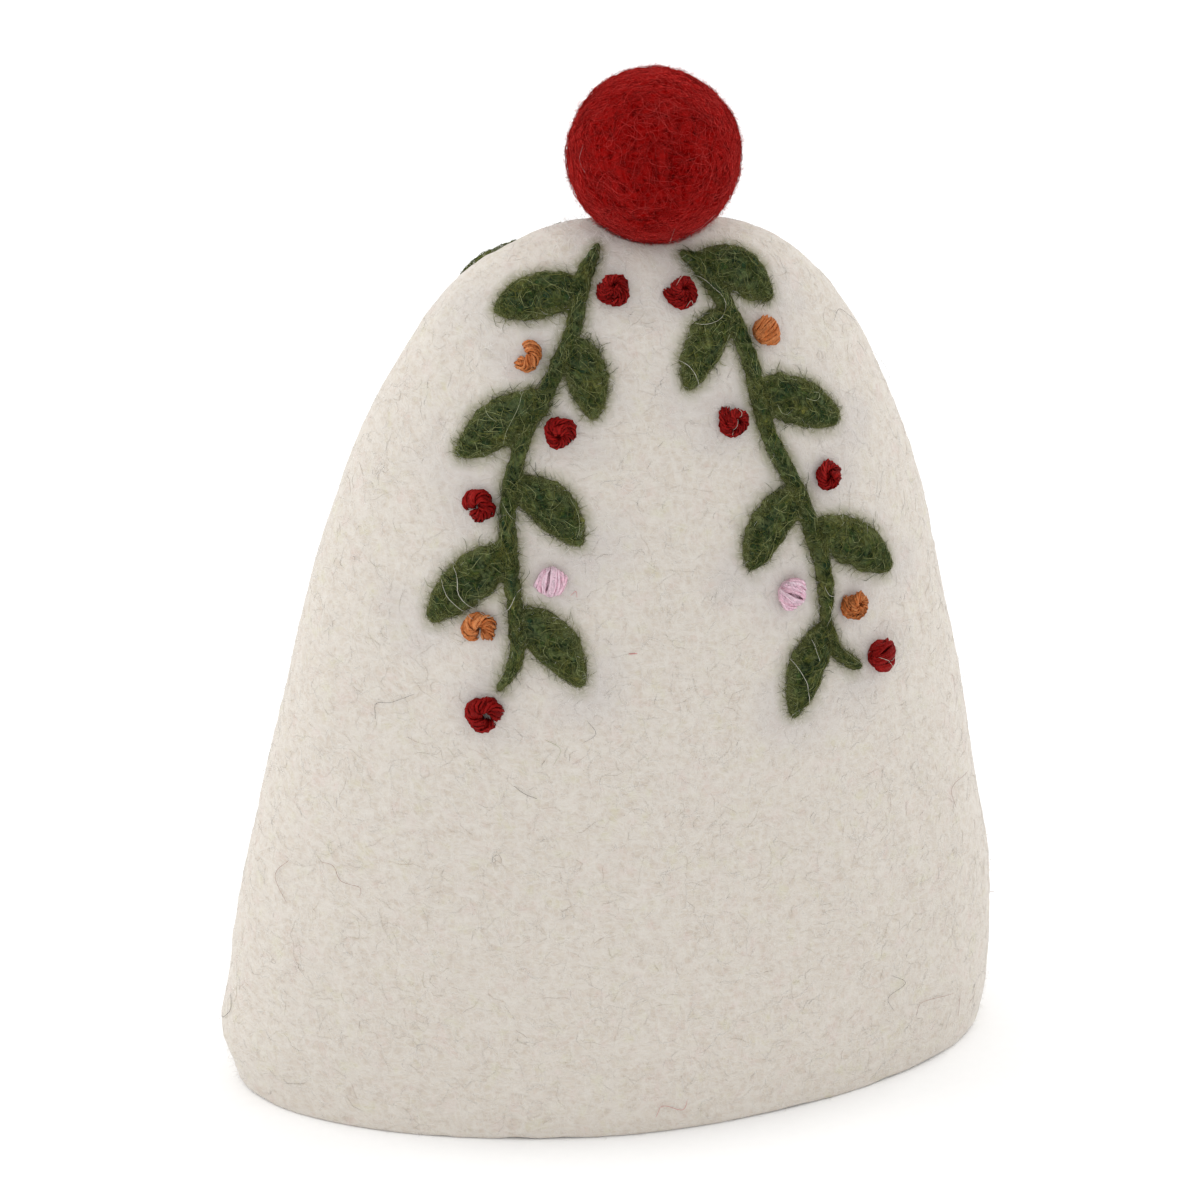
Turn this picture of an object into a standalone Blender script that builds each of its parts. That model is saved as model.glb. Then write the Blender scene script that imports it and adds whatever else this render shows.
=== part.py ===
"""Egg cosy of thick wool felt: a flattened hollow bell that stands open on its hem.

A felt ball sits in a shallow seat on the ridge of the bell. From beside it a sprig of stem and leaves,
needled from green wool, falls down each side of the front and of the back, and small knots of yarn lie
beside the leaves as berries. The front faces -Y, and the hem stands on the plane z = 0.
"""

import bisect
import math
from collections import namedtuple

import bmesh
import bpy
from mathutils import Vector

MM = 0.001

# The felt bell. It leans a little, so the middle of its ridge stands to +X of the middle of its hem.
BODY_HEIGHT = 86 * MM
HEM_HALF_WIDTH = 36.3 * MM
HEM_HALF_DEPTH = 17.7 * MM
WALL = 3 * MM
HEM_ROUND = 0.8 * MM
RIDGE_LEAN = 2 * MM
# How the half width and the half depth fall away with height, as the powers of a superellipse.
WIDTH_FALL, WIDTH_ROUND = 1.54, 2.98
DEPTH_FALL, DEPTH_ROUND = 2.2, 2.1
# Below 2 a level section is a little pointed at both ends, as two faces of felt laid together.
SECTION_POWER = 1.9
# The bell is fullest a little over its hem, and the swell ends at this share of its height.
SWELL, SWELL_TOP = 0.04, 0.5
# Soft hollows and swells over both faces, as a share of the depth.
DENTS, DENT_PITCH = 0.015, 8 * MM

BODY_STEPS_AROUND, OUTSIDE_ROWS, INSIDE_ROWS = 48, 22, 13
ROWS_TO_RIDGE = 1.35  # over 1, the rows lie closer together towards the ridge

# The ball.
BALL_RADIUS = 8.05 * MM
BALL_ACROSS = 3.9 * MM  # its middle, to +X of the middle of the hem
BALL_SUNK = 2.05 * MM  # how deep it is drawn into the ridge
BALL_LUMPS = 0.01
SEAT_GAP = 0.45 * MM

# The sprigs and berries. Pieces that touch keep this gap.
GAP = 0.32 * MM
STEM_WIDTH, STEM_RELIEF = 1.8 * MM, 1.1 * MM
LEAF_RELIEF, LEAF_GAP = 1.35 * MM, 0.42 * MM
TWIG_WIDTH = 1.2 * MM
STRIP_STEPS_AROUND, LEAF_RINGS, STEM_RINGS, TWIG_RINGS = 8, 8, 22, 6
EDGE_SHARE = 0.35  # the height of a strip's edge, as a share of its relief
RED_KNOT, SMALL_KNOT = 1.55 * MM, 1.3 * MM
KNOT_STEPS_AROUND, KNOT_RINGS = 9, 6

# Places on a face are (across, down) in millimetres: across to +X from its middle line, and down the felt
# from the ridge.
Leaf = namedtuple("Leaf", "base tip width bow")
Berry = namedtuple("Berry", "place yarn")
Sprig = namedtuple("Sprig", "stem leaves twigs berries")

LEFT_SPRIG = Sprig(
    stem=[(-3.7, 3.3), (-5.7, 7.2), (-7.0, 11.8), (-9.2, 16.3), (-11.4, 20.6), (-12.7, 25.0),
          (-13.2, 28.8), (-13.1, 32.6), (-12.7, 36.9), (-12.7, 41.7), (-14.4, 45.1)],
    leaves=[
        Leaf(base=(-5.5, 7.3), tip=(-13.5, 10.1), width=3.7, bow=0.3),
        Leaf(base=(-6.8, 12.0), tip=(-5.3, 19.5), width=3.6, bow=-0.3),
        Leaf(base=(-9.1, 17.1), tip=(-17.5, 23.2), width=3.8, bow=0.3),
        Leaf(base=(-12.6, 25.0), tip=(-6.7, 31.1), width=3.9, bow=-0.6),
        Leaf(base=(-12.9, 31.2), tip=(-20.2, 38.7), width=3.9, bow=0.4),
        Leaf(base=(-12.7, 37.0), tip=(-6.7, 44.4), width=3.9, bow=-0.6),
    ],
    twigs=[],
    berries=[
        Berry((-3.0, 7.9), "red"),
        Berry((-11.1, 13.7), "orange"),
        Berry((-8.4, 20.6), "red"),
        Berry((-15.7, 27.5), "red"),
        Berry((-9.5, 34.3), "pink"),
        Berry((-15.8, 38.9), "orange"),
        Berry((-15.4, 47.0), "red"),
    ],
)

RIGHT_SPRIG = Sprig(
    stem=[(3.4, 4.8), (5.1, 6.4), (6.7, 9.1), (8.2, 12.3), (9.3, 15.6), (9.9, 18.6), (10.7, 22.0),
          (12.3, 25.7), (13.6, 28.3), (14.6, 31.1), (15.6, 34.1), (16.3, 36.9), (16.5, 39.9),
          (16.5, 42.8)],
    leaves=[
        Leaf(base=(4.3, 5.8), tip=(11.8, 10.6), width=3.7, bow=-1.0),
        Leaf(base=(7.4, 10.6), tip=(3.3, 17.4), width=3.6, bow=0.5),
        Leaf(base=(9.6, 17.9), tip=(18.1, 23.0), width=3.8, bow=-0.3),
        Leaf(base=(13.7, 28.0), tip=(8.8, 34.9), width=3.9, bow=0.6),
        Leaf(base=(14.7, 31.6), tip=(23.4, 38.3), width=3.8, bow=-0.5),
        Leaf(base=(16.4, 41.4), tip=(13.3, 50.0), width=3.6, bow=0.3),
    ],
    twigs=[[(16.6, 41.6), (17.7, 44.6), (20.1, 46.7)]],
    berries=[
        Berry((3.1, 8.6), "red"),
        Berry((10.9, 13.2), "orange"),
        Berry((7.4, 20.7), "red"),
        Berry((16.5, 27.5), "red"),
        Berry((12.9, 37.7), "pink"),
        Berry((19.3, 40.4), "orange"),
        Berry((22.2, 46.1), "red"),
    ],
)

# The back repeats the front's sprigs at the same sides, a little further down.
BACK_SHIFTS = {"left": (-1.8, 0.9), "right": (0.0, 1.6)}

# The colours are linear RGB.
Finish = namedtuple("Finish", "colour roughness metallic")
FINISHES = {
    "cream_felt": Finish((0.74, 0.69, 0.61), 0.95, 0.0),
    "crimson_felt": Finish((0.40, 0.008, 0.014), 0.95, 0.0),
    "green_wool": Finish((0.035, 0.075, 0.022), 0.95, 0.0),
    "red_yarn": Finish((0.36, 0.008, 0.02), 0.8, 0.0),
    "orange_yarn": Finish((0.60, 0.21, 0.05), 0.8, 0.0),
    "pink_yarn": Finish((0.85, 0.48, 0.62), 0.8, 0.0),
}

FRONT, BACK = -1, 1


# The form of the felt bell.

Bell = namedtuple("Bell", "half_width half_depth height")
OUTSIDE = Bell(HEM_HALF_WIDTH, HEM_HALF_DEPTH, BODY_HEIGHT)
INSIDE = Bell(HEM_HALF_WIDTH - WALL, HEM_HALF_DEPTH - WALL, BODY_HEIGHT - WALL)


def width_at(bell, rise):
    """Half the bell's width at a share of its height."""
    up = min(rise / SWELL_TOP, 1)
    fullness = up * (1 - up) ** 2 * 27 / 4  # its peak, at a third of the way up the swell, is 1
    return bell.half_width * (1 + SWELL * fullness) * (1 - rise**WIDTH_FALL) ** (1 / WIDTH_ROUND)


def depth_at(bell, rise):
    """Half the bell's depth at a share of its height."""
    return bell.half_depth * (1 - rise**DEPTH_FALL) ** (1 / DEPTH_ROUND)


def dent(x, z):
    """How full the felt is here, as a factor on its depth."""
    return 1 + DENTS * math.sin(x / DENT_PITCH + 2) * math.sin(1.3 * z / DENT_PITCH + 0.7)


def bell_point(bell, angle, rise):
    """The point of a bell at an angle around its section and a share of its height."""
    power = 2 / SECTION_POWER
    across, out = math.cos(angle), math.sin(angle)
    x = width_at(bell, rise) * math.copysign(abs(across) ** power, across)
    y = depth_at(bell, rise) * math.copysign(abs(out) ** power, out)
    z = bell.height * rise
    x += RIDGE_LEAN * z / BODY_HEIGHT
    return Vector((x, y * dent(x, z), z))


def measure_face(steps=600):
    """Heights up the middle line of a face, with the felt's length from the ridge down to each."""
    heights = [BODY_HEIGHT * (1 - (i / steps) ** 2) for i in range(steps + 1)]
    depths = [depth_at(OUTSIDE, z / BODY_HEIGHT) for z in heights]
    downs = [0.0]
    for i in range(steps):
        downs.append(downs[-1] + math.hypot(heights[i + 1] - heights[i], depths[i + 1] - depths[i]))
    return downs, heights


FACE_DOWNS, FACE_HEIGHTS = measure_face()


def height_at(down):
    """The height of the felt's middle line at a length down from the ridge."""
    i = min(max(bisect.bisect(FACE_DOWNS, down), 1), len(FACE_DOWNS) - 1)
    share = (down - FACE_DOWNS[i - 1]) / (FACE_DOWNS[i] - FACE_DOWNS[i - 1])
    return FACE_HEIGHTS[i - 1] + share * (FACE_HEIGHTS[i] - FACE_HEIGHTS[i - 1])


def felt_point(face, across, down):
    """The point of the felt at a place on its front or back face, in metres."""
    z = height_at(down)
    rise = z / BODY_HEIGHT
    left = 1 - (abs(across) / width_at(OUTSIDE, rise)) ** SECTION_POWER
    x = RIDGE_LEAN * rise + across
    y = face * depth_at(OUTSIDE, rise) * left ** (1 / SECTION_POWER)
    return Vector((x, y * dent(x, z), z))


def felt_normal(face, across, down):
    """The direction straight out of the felt at a place on a face."""
    step = 0.2 * MM
    sideways = felt_point(face, across + step, down) - felt_point(face, across - step, down)
    downwards = felt_point(face, across, down + step) - felt_point(face, across, down - step)
    return -face * downwards.cross(sideways).normalized()


# Objects, collections and materials.


def clear_scene():
    for old in list(bpy.data.objects):
        bpy.data.objects.remove(old)


def new_collection(name):
    collection = bpy.data.collections.new(name)
    bpy.context.scene.collection.children.link(collection)
    return collection


def make_finishes():
    made = {}
    for name, finish in FINISHES.items():
        material = bpy.data.materials.new(name)
        material.use_nodes = True
        shader = material.node_tree.nodes["Principled BSDF"]
        shader.inputs["Base Color"].default_value = (*finish.colour, 1)
        shader.inputs["Roughness"].default_value = finish.roughness
        shader.inputs["Metallic"].default_value = finish.metallic
        material.diffuse_color = (*finish.colour, 1)
        made[name] = material
    return made


def mesh_object(name, bm, collection, material):
    """A smooth-shaded object that holds the mesh, with its faces turned outwards."""
    bmesh.ops.recalc_face_normals(bm, faces=bm.faces)
    mesh = bpy.data.meshes.new(name)
    bm.to_mesh(mesh)
    bm.free()
    mesh.shade_smooth()
    mesh.materials.append(material)
    made = bpy.data.objects.new(name, mesh)
    collection.objects.link(made)
    return made


# The felt bell and its ball.


def ball_centre():
    return Vector((BALL_ACROSS, 0, BODY_HEIGHT - BALL_SUNK + BALL_RADIUS))


def pressed_clear(point, centre, radius):
    """The point, or where it lies inside a sphere, the nearest point of the sphere."""
    away = point - centre
    return centre + away.normalized() * max(away.length, radius)


def row_of(v):
    """The row of the felt that a point of the sphere becomes, counted from the ridge."""
    return round(math.acos(min(max(v.co.z, -1), 1)) / math.pi * (OUTSIDE_ROWS + 1 + INSIDE_ROWS))


def felt_row_point(row, angle):
    """A point of the felt. The rows run down its outside, across its hem and up its inside."""
    if row <= OUTSIDE_ROWS:
        bell, from_ridge, seat = OUTSIDE, row / OUTSIDE_ROWS, SEAT_GAP
    else:
        bell, from_ridge = INSIDE, 1 - (row - OUTSIDE_ROWS - 1) / INSIDE_ROWS
        seat = SEAT_GAP + WALL
    turn = math.pi / 2 * (1 - from_ridge**ROWS_TO_RIDGE)
    point = bell_point(bell, angle, math.sin(turn) ** (2 / WIDTH_FALL))
    return pressed_clear(point, ball_centre(), BALL_RADIUS + seat)


def make_body(collection, finishes):
    """A sphere whose lower half is pushed up into its upper half, as the inside of the hollow felt."""
    bm = bmesh.new()
    made = bmesh.ops.create_uvsphere(
        bm, u_segments=BODY_STEPS_AROUND, v_segments=OUTSIDE_ROWS + 1 + INSIDE_ROWS, radius=1)
    rows = {v: row_of(v) for v in made["verts"]}
    for v, row in rows.items():
        v.co = felt_row_point(row, math.atan2(v.co.y, v.co.x))
    bm.normal_update()
    hem_rows = (OUTSIDE_ROWS, OUTSIDE_ROWS + 1)
    hem = [e for e in bm.edges if rows[e.verts[0]] == rows[e.verts[1]] and rows[e.verts[0]] in hem_rows]
    bmesh.ops.bevel(bm, geom=hem, offset=HEM_ROUND, segments=2, profile=0.5, affect="EDGES")
    return mesh_object("cosy_body", bm, collection, finishes["cream_felt"])


def make_ball(collection, finishes):
    bm = bmesh.new()
    made = bmesh.ops.create_uvsphere(bm, u_segments=24, v_segments=15, radius=BALL_RADIUS)
    for v in made["verts"]:
        x, y, z = v.co / BALL_RADIUS
        v.co *= 1 + BALL_LUMPS * math.sin(4 * x + 1) * math.sin(4 * y + 2) * math.cos(3 * z)
    ball = mesh_object("felt_ball", bm, collection, finishes["crimson_felt"])
    ball.location = ball_centre()
    return ball


# The sprigs.


def moved(sprig, across, down):
    """The same sprig with all of its places moved over the face."""
    def shift(place):
        return place[0] + across, place[1] + down

    return Sprig(
        stem=[shift(place) for place in sprig.stem],
        leaves=[leaf._replace(base=shift(leaf.base), tip=shift(leaf.tip)) for leaf in sprig.leaves],
        twigs=[[shift(place) for place in twig] for twig in sprig.twigs],
        berries=[berry._replace(place=shift(berry.place)) for berry in sprig.berries],
    )


def leaf_width(share):
    """A leaf's half width along it: narrow at the stem, fullest before the middle, pointed at the tip."""
    return math.sin(math.pi * share**0.8) ** 0.75


def stem_width(share):
    """A stem's half width along it, blunt at both ends."""
    return min(1, 14 * share, 10 * (1 - share)) ** 0.5


def along_route(places, share):
    """A place at a share of the way along a smooth route through the places, and the way it heads."""
    spans = len(places) - 1
    i = min(int(share * spans), spans - 1)
    p1, p2 = Vector(places[i]), Vector(places[i + 1])
    p0 = Vector(places[i - 1]) if i else 2 * p1 - p2
    p3 = Vector(places[i + 2]) if i + 2 <= spans else 2 * p2 - p1
    t = share * spans - i
    bend = 2 * p0 - 5 * p1 + 4 * p2 - p3
    turn = 3 * (p1 - p2) + p3 - p0
    place = p1 + 0.5 * t * (p2 - p0 + t * (bend + t * turn))
    heading = 0.5 * (p2 - p0) + t * bend + 1.5 * t * t * turn
    return place, heading.normalized()


def leaf_route(leaf):
    """Three places along a leaf's middle, the second moved sideways by the leaf's bow."""
    base, tip = Vector(leaf.base), Vector(leaf.tip)
    side = (tip - base).orthogonal().normalized()
    return [base, (base + tip) / 2 + side * leaf.bow, tip]


def add_strip(bm, face, places, rings, width, width_shape, relief, gap):
    """A sphere drawn out along a route over a face: flat towards the felt and rounded away from it."""
    made = bmesh.ops.create_uvsphere(
        bm, u_segments=STRIP_STEPS_AROUND, v_segments=rings, radius=1)
    for v in made["verts"]:
        share = math.acos(min(max(v.co.z, -1), 1)) / math.pi
        angle = math.atan2(v.co.y, v.co.x)
        on_axis = math.hypot(v.co.x, v.co.y) < 1e-4
        place, heading = along_route(places, share)
        half = 0 if on_axis else width / 2 * width_shape(share)
        shift = half * math.cos(angle)
        across = place.x * MM - heading.y * shift
        down = place.y * MM + heading.x * shift
        lift = EDGE_SHARE if on_axis else max(0, EDGE_SHARE + (1 - EDGE_SHARE) * math.sin(angle))
        out = gap + relief * lift
        v.co = felt_point(face, across, down) + felt_normal(face, across, down) * out


def make_sprig(name, face, sprig, collection, cutters, finishes):
    """A stem with its leaves and twigs joined to it, as one mass of needled wool."""
    bm = bmesh.new()
    add_strip(bm, face, sprig.stem, STEM_RINGS, STEM_WIDTH, stem_width, STEM_RELIEF, GAP)
    stem = mesh_object(name, bm, collection, finishes["green_wool"])
    bm = bmesh.new()
    for leaf in sprig.leaves:
        width = leaf.width * MM
        add_strip(bm, face, leaf_route(leaf), LEAF_RINGS, width, leaf_width, LEAF_RELIEF, LEAF_GAP)
    leaves = [mesh_object(name + "_leaves", bm, cutters, finishes["green_wool"])]
    for twig in sprig.twigs:
        bm = bmesh.new()
        add_strip(bm, face, twig, TWIG_RINGS, TWIG_WIDTH, stem_width, STEM_RELIEF, GAP + 0.05 * MM)
        leaves.append(mesh_object(name + "_twig", bm, cutters, finishes["green_wool"]))
    for piece in leaves:
        piece.hide_render = True
        piece.display_type = "WIRE"
        join = stem.modifiers.new(piece.name, "BOOLEAN")
        join.operation = "UNION"
        join.solver = "EXACT"
        join.object = piece
    return stem


# The berries.


def knot_mesh(radius):
    """A knot of yarn: a low dome with the slanting lumps of its turns, flat beneath."""
    bm = bmesh.new()
    made = bmesh.ops.create_uvsphere(
        bm, u_segments=KNOT_STEPS_AROUND, v_segments=KNOT_RINGS, radius=radius)
    for v in made["verts"]:
        angle = math.atan2(v.co.y, v.co.x)
        height = v.co.z / radius
        v.co.xy *= 1 + 0.07 * math.cos(3 * angle + 2.5 * height)
        v.co.z = radius * max(0, 0.55 + 0.85 * height)
    return bm


def make_berries(prefix, face, sprig, collection, finishes):
    for number, berry in enumerate(sprig.berries, 1):
        radius = RED_KNOT if berry.yarn == "red" else SMALL_KNOT
        knot = mesh_object(
            f"{prefix}_{number}", knot_mesh(radius), collection, finishes[berry.yarn + "_yarn"])
        across, down = (size * MM for size in berry.place)
        normal = felt_normal(face, across, down)
        knot.location = felt_point(face, across, down) + normal * GAP
        knot.rotation_mode = "QUATERNION"
        knot.rotation_quaternion = normal.to_track_quat("Z", "Y")


def main():
    clear_scene()
    collection = new_collection("egg_cosy")
    cutters = new_collection("cutters")
    finishes = make_finishes()
    make_body(collection, finishes)
    make_ball(collection, finishes)
    for hand, sprig in (("left", LEFT_SPRIG), ("right", RIGHT_SPRIG)):
        back_sprig = moved(sprig, *BACK_SHIFTS[hand])
        for side, face, placed in (("front", FRONT, sprig), ("back", BACK, back_sprig)):
            make_sprig(f"sprig_{side}_{hand}", face, placed, collection, cutters, finishes)
            make_berries(f"berry_{side}_{hand}", face, placed, collection, finishes)


main()
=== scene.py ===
"""Egg cosy: the looks of a felted bell with a felt ball, leafy sprigs of needled wool and knots of yarn.

The bell, the ball, the sprigs and the knots are dense meshes from the same formulas as the solids that they
stand for. Loose wool fibres lie on them and stand out of them as thin tapered tubes. Lengths are in metres
unless a name ends in _mm, and the front faces -Y.
"""

import math
from collections import namedtuple

import bmesh
import bpy
import numpy as np
from bpy.props import FloatProperty, FloatVectorProperty, IntProperty, PointerProperty
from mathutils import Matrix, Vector, noise
from mathutils.bvhtree import BVHTree


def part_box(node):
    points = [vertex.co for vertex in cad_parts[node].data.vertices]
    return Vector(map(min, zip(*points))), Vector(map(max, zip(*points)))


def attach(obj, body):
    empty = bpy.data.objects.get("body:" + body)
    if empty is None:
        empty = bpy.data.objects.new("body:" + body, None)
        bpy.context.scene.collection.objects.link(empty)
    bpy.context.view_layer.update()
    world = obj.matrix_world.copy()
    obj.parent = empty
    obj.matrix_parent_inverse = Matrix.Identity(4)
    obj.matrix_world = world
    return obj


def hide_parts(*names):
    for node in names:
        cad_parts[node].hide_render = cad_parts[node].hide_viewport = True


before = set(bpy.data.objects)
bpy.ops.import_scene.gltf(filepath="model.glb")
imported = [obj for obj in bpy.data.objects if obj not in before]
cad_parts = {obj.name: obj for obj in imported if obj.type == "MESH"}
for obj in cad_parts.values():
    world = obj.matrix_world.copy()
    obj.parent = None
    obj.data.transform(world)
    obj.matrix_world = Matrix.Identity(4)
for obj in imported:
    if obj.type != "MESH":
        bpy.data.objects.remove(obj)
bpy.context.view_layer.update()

bl_info = {
    "name": "Felt Egg Cosy",
    "version": (1, 0, 0),
    "blender": (4, 5, 0),
    "location": "3D View > Sidebar > Egg Cosy",
    "description": "Builds a wool felt egg cosy with its ball, sprigs, berries and loose fibres",
    "category": "Object",
}

MM = 0.001
FRONT, BACK = -1, 1

# The felt bell, in the sizes of the solid part.
BODY_HEIGHT = 86 * MM
HEM_HALF_WIDTH = 36.3 * MM
HEM_HALF_DEPTH = 17.7 * MM
HEM_ROUND = 0.35 * MM
RIDGE_LEAN = 2 * MM
WIDTH_FALL, WIDTH_ROUND = 1.54, 2.98
DEPTH_FALL, DEPTH_ROUND = 2.2, 2.1
SECTION_POWER = 1.9
SWELL, SWELL_TOP = 0.04, 0.5
DENTS, DENT_PITCH = 0.015, 8 * MM
ROWS_TO_RIDGE = 1.35

BALL_LOW, BALL_HIGH = (Vector(corner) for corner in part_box("felt_ball"))
BALL_CENTRE = np.array((BALL_LOW + BALL_HIGH) / 2)
BALL_RADIUS = (BALL_HIGH - BALL_LOW).z / 2

# The sprigs and berries. Places on a face are (across, down) in millimetres: across to +X from its middle
# line, and down the felt from the ridge.
Leaf = namedtuple("Leaf", "base tip width bow")
# A berry's yarn starts at an angle, in degrees from +X as seen from outside, and coils for so many turns.
Berry = namedtuple("Berry", "place yarn width start turns")
Sprig = namedtuple("Sprig", "stem leaves twigs berries")

LEFT_SPRIG = Sprig(
    stem=[(-3.7, 3.3), (-5.7, 7.2), (-7.0, 11.8), (-9.2, 16.3), (-11.4, 20.6), (-12.7, 25.0),
          (-13.2, 28.8), (-13.1, 32.6), (-12.7, 36.9), (-12.7, 41.7), (-14.4, 45.1)],
    leaves=[
        Leaf(base=(-5.5, 7.3), tip=(-13.5, 10.1), width=3.7, bow=0.3),
        Leaf(base=(-6.8, 12.0), tip=(-5.3, 19.5), width=3.6, bow=-0.3),
        Leaf(base=(-9.1, 17.1), tip=(-17.5, 23.2), width=3.8, bow=0.3),
        Leaf(base=(-12.6, 25.0), tip=(-6.7, 31.1), width=3.9, bow=-0.6),
        Leaf(base=(-12.9, 31.2), tip=(-20.2, 38.7), width=3.9, bow=0.4),
        Leaf(base=(-12.7, 37.0), tip=(-6.7, 44.4), width=3.9, bow=-0.6),
    ],
    twigs=[],
    berries=[
        Berry((-3.0, 7.9), "red", 3.4, 140, 1.7),
        Berry((-11.1, 13.7), "orange", 3.15, -135, 0.62),
        Berry((-8.4, 20.6), "red", 3.3, -40, 1.6),
        Berry((-15.7, 27.5), "red", 3.3, 235, 0.88),
        Berry((-9.5, 34.3), "pink", 2.95, 80, 2.0),
        Berry((-15.8, 38.9), "orange", 3.4, -60, 0.84),
        Berry((-15.4, 47.0), "red", 3.7, -20, 0.90),
    ],
)

RIGHT_SPRIG = Sprig(
    stem=[(3.4, 4.8), (5.1, 6.4), (6.7, 9.1), (8.2, 12.3), (9.3, 15.6), (9.9, 18.6), (10.7, 22.0),
          (12.3, 25.7), (13.6, 28.3), (14.6, 31.1), (15.6, 34.1), (16.3, 36.9), (16.5, 39.9),
          (16.5, 42.8)],
    leaves=[
        Leaf(base=(4.3, 5.8), tip=(11.8, 10.6), width=3.7, bow=-1.0),
        Leaf(base=(7.4, 10.6), tip=(3.3, 17.4), width=3.6, bow=0.5),
        Leaf(base=(9.6, 17.9), tip=(18.1, 23.0), width=3.8, bow=-0.3),
        Leaf(base=(13.7, 28.0), tip=(8.8, 34.9), width=3.9, bow=0.6),
        Leaf(base=(14.7, 31.6), tip=(23.4, 38.3), width=3.8, bow=-0.5),
        Leaf(base=(16.4, 41.4), tip=(13.3, 50.0), width=3.6, bow=0.3),
    ],
    twigs=[[(16.6, 41.6), (17.7, 44.6), (20.1, 46.7)]],
    berries=[
        Berry((3.1, 8.6), "red", 3.4, 150, 1.5),
        Berry((10.9, 13.2), "orange", 2.75, 30, 1.9),
        Berry((7.4, 20.7), "red", 3.3, 100, 1.5),
        Berry((16.5, 27.5), "red", 3.2, -35, 1.3),
        Berry((12.9, 37.7), "pink", 2.95, 150, 2.0),
        Berry((19.3, 40.4), "orange", 3.15, 120, 1.6),
        Berry((22.2, 46.1), "red", 3.15, 10, 1.8),
    ],
)

BACK_SHIFTS = {"left": (-1.8, 0.9), "right": (0.0, 1.6)}


def moved(sprig, across, down):
    """The same sprig with all of its places moved over the face."""
    def shift(place):
        return place[0] + across, place[1] + down

    return Sprig(
        stem=[shift(place) for place in sprig.stem],
        leaves=[leaf._replace(base=shift(leaf.base), tip=shift(leaf.tip)) for leaf in sprig.leaves],
        twigs=[[shift(place) for place in twig] for twig in sprig.twigs],
        berries=[berry._replace(place=shift(berry.place)) for berry in sprig.berries],
    )


# Every sprig by (side, hand), with the face that it is on.
SPRIGS = {
    (side, hand): (face, sprig if face == FRONT else moved(sprig, *BACK_SHIFTS[hand]))
    for hand, sprig in (("left", LEFT_SPRIG), ("right", RIGHT_SPRIG))
    for side, face in (("front", FRONT), ("back", BACK))
}


# The form of the felt bell, for arrays of places.

Bell = namedtuple("Bell", "half_width half_depth height")


def bell(inset):
    """The bell's surface at a depth inside its felt."""
    return Bell(HEM_HALF_WIDTH - inset, HEM_HALF_DEPTH - inset, BODY_HEIGHT - inset)


def width_at(shape, rise):
    up = np.minimum(rise / SWELL_TOP, 1)
    fullness = up * (1 - up) ** 2 * 27 / 4
    return shape.half_width * (1 + SWELL * fullness) * (1 - rise**WIDTH_FALL) ** (1 / WIDTH_ROUND)


def depth_at(shape, rise):
    return shape.half_depth * (1 - rise**DEPTH_FALL) ** (1 / DEPTH_ROUND)


def dent(x, z):
    return 1 + DENTS * np.sin(x / DENT_PITCH + 2) * np.sin(1.3 * z / DENT_PITCH + 0.7)


def bell_points(shape, angle, rise):
    """Points of a bell at angles around its section and shares of its height."""
    power = 2 / SECTION_POWER
    across, out = np.cos(angle), np.sin(angle)
    z = shape.height * rise
    x = width_at(shape, rise) * np.sign(across) * np.abs(across) ** power + RIDGE_LEAN * z / BODY_HEIGHT
    y = depth_at(shape, rise) * np.sign(out) * np.abs(out) ** power
    return np.stack(np.broadcast_arrays(x, y * dent(x, z), z), axis=-1)


def measure_face(steps=600):
    """Heights up the middle line of a face, with the felt's length from the ridge down to each."""
    heights = BODY_HEIGHT * (1 - (np.arange(steps + 1) / steps) ** 2)
    depths = depth_at(bell(0), heights / BODY_HEIGHT)
    runs = np.hypot(np.diff(heights), np.diff(depths))
    return np.concatenate([[0], np.cumsum(runs)]), heights


FACE_DOWNS, FACE_HEIGHTS = measure_face()


def felt_points(face, across, down):
    """Points of the felt at places on its front or back face, in metres."""
    z = np.interp(down, FACE_DOWNS, FACE_HEIGHTS)
    rise = z / BODY_HEIGHT
    left = np.maximum(1 - (np.abs(across) / width_at(bell(0), rise)) ** SECTION_POWER, 0)
    x = RIDGE_LEAN * rise + across
    y = face * depth_at(bell(0), rise) * left ** (1 / SECTION_POWER)
    return np.stack([x, y * dent(x, z), z], axis=-1)


def felt_normals(face, across, down):
    """The directions straight out of the felt at places on a face."""
    step = 0.2 * MM
    sideways = felt_points(face, across + step, down) - felt_points(face, across - step, down)
    downwards = felt_points(face, across, down + step) - felt_points(face, across, down - step)
    return -face * unit(np.cross(downwards, sideways))


# Arrays, meshes and surfaces.


def unit(vectors):
    return vectors / np.maximum(np.linalg.norm(vectors, axis=-1, keepdims=True), 1e-12)


def lumps(points, scale, seed, detail=2):
    """Smooth noise from about -1 to 1 at each point, with features of this size."""
    shift = Vector((seed * 7.31, seed * 3.77, seed * 5.13))
    flat = points.reshape(-1, 3) / scale
    values = [noise.fractal(Vector(p) + shift, 1.0, 2.0, detail) for p in flat]
    return np.array(values).reshape(points.shape[:-1])


def square_to(flat):
    """Directions on a face turned by a quarter."""
    return np.stack([-flat[:, 1], flat[:, 0]], axis=1)


def merged(parts):
    """The points and the faces of several pairs of them as one pair."""
    starts = np.cumsum([0] + [len(points) for points, _ in parts[:-1]])
    faces = np.concatenate([faces + start for (_, faces), start in zip(parts, starts)])
    return np.concatenate([points for points, _ in parts]), faces


def search_tree(points, faces):
    return BVHTree.FromPolygons(points.tolist(), faces.tolist())


def icosphere(subdivisions, radius):
    """The points and triangles of a ball of nearly even triangles."""
    bm = bmesh.new()
    bmesh.ops.create_icosphere(bm, subdivisions=subdivisions, radius=radius)
    points = np.array([v.co for v in bm.verts])
    faces = np.array([[v.index for v in f.verts] for f in bm.faces])
    bm.free()
    return points, faces


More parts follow.
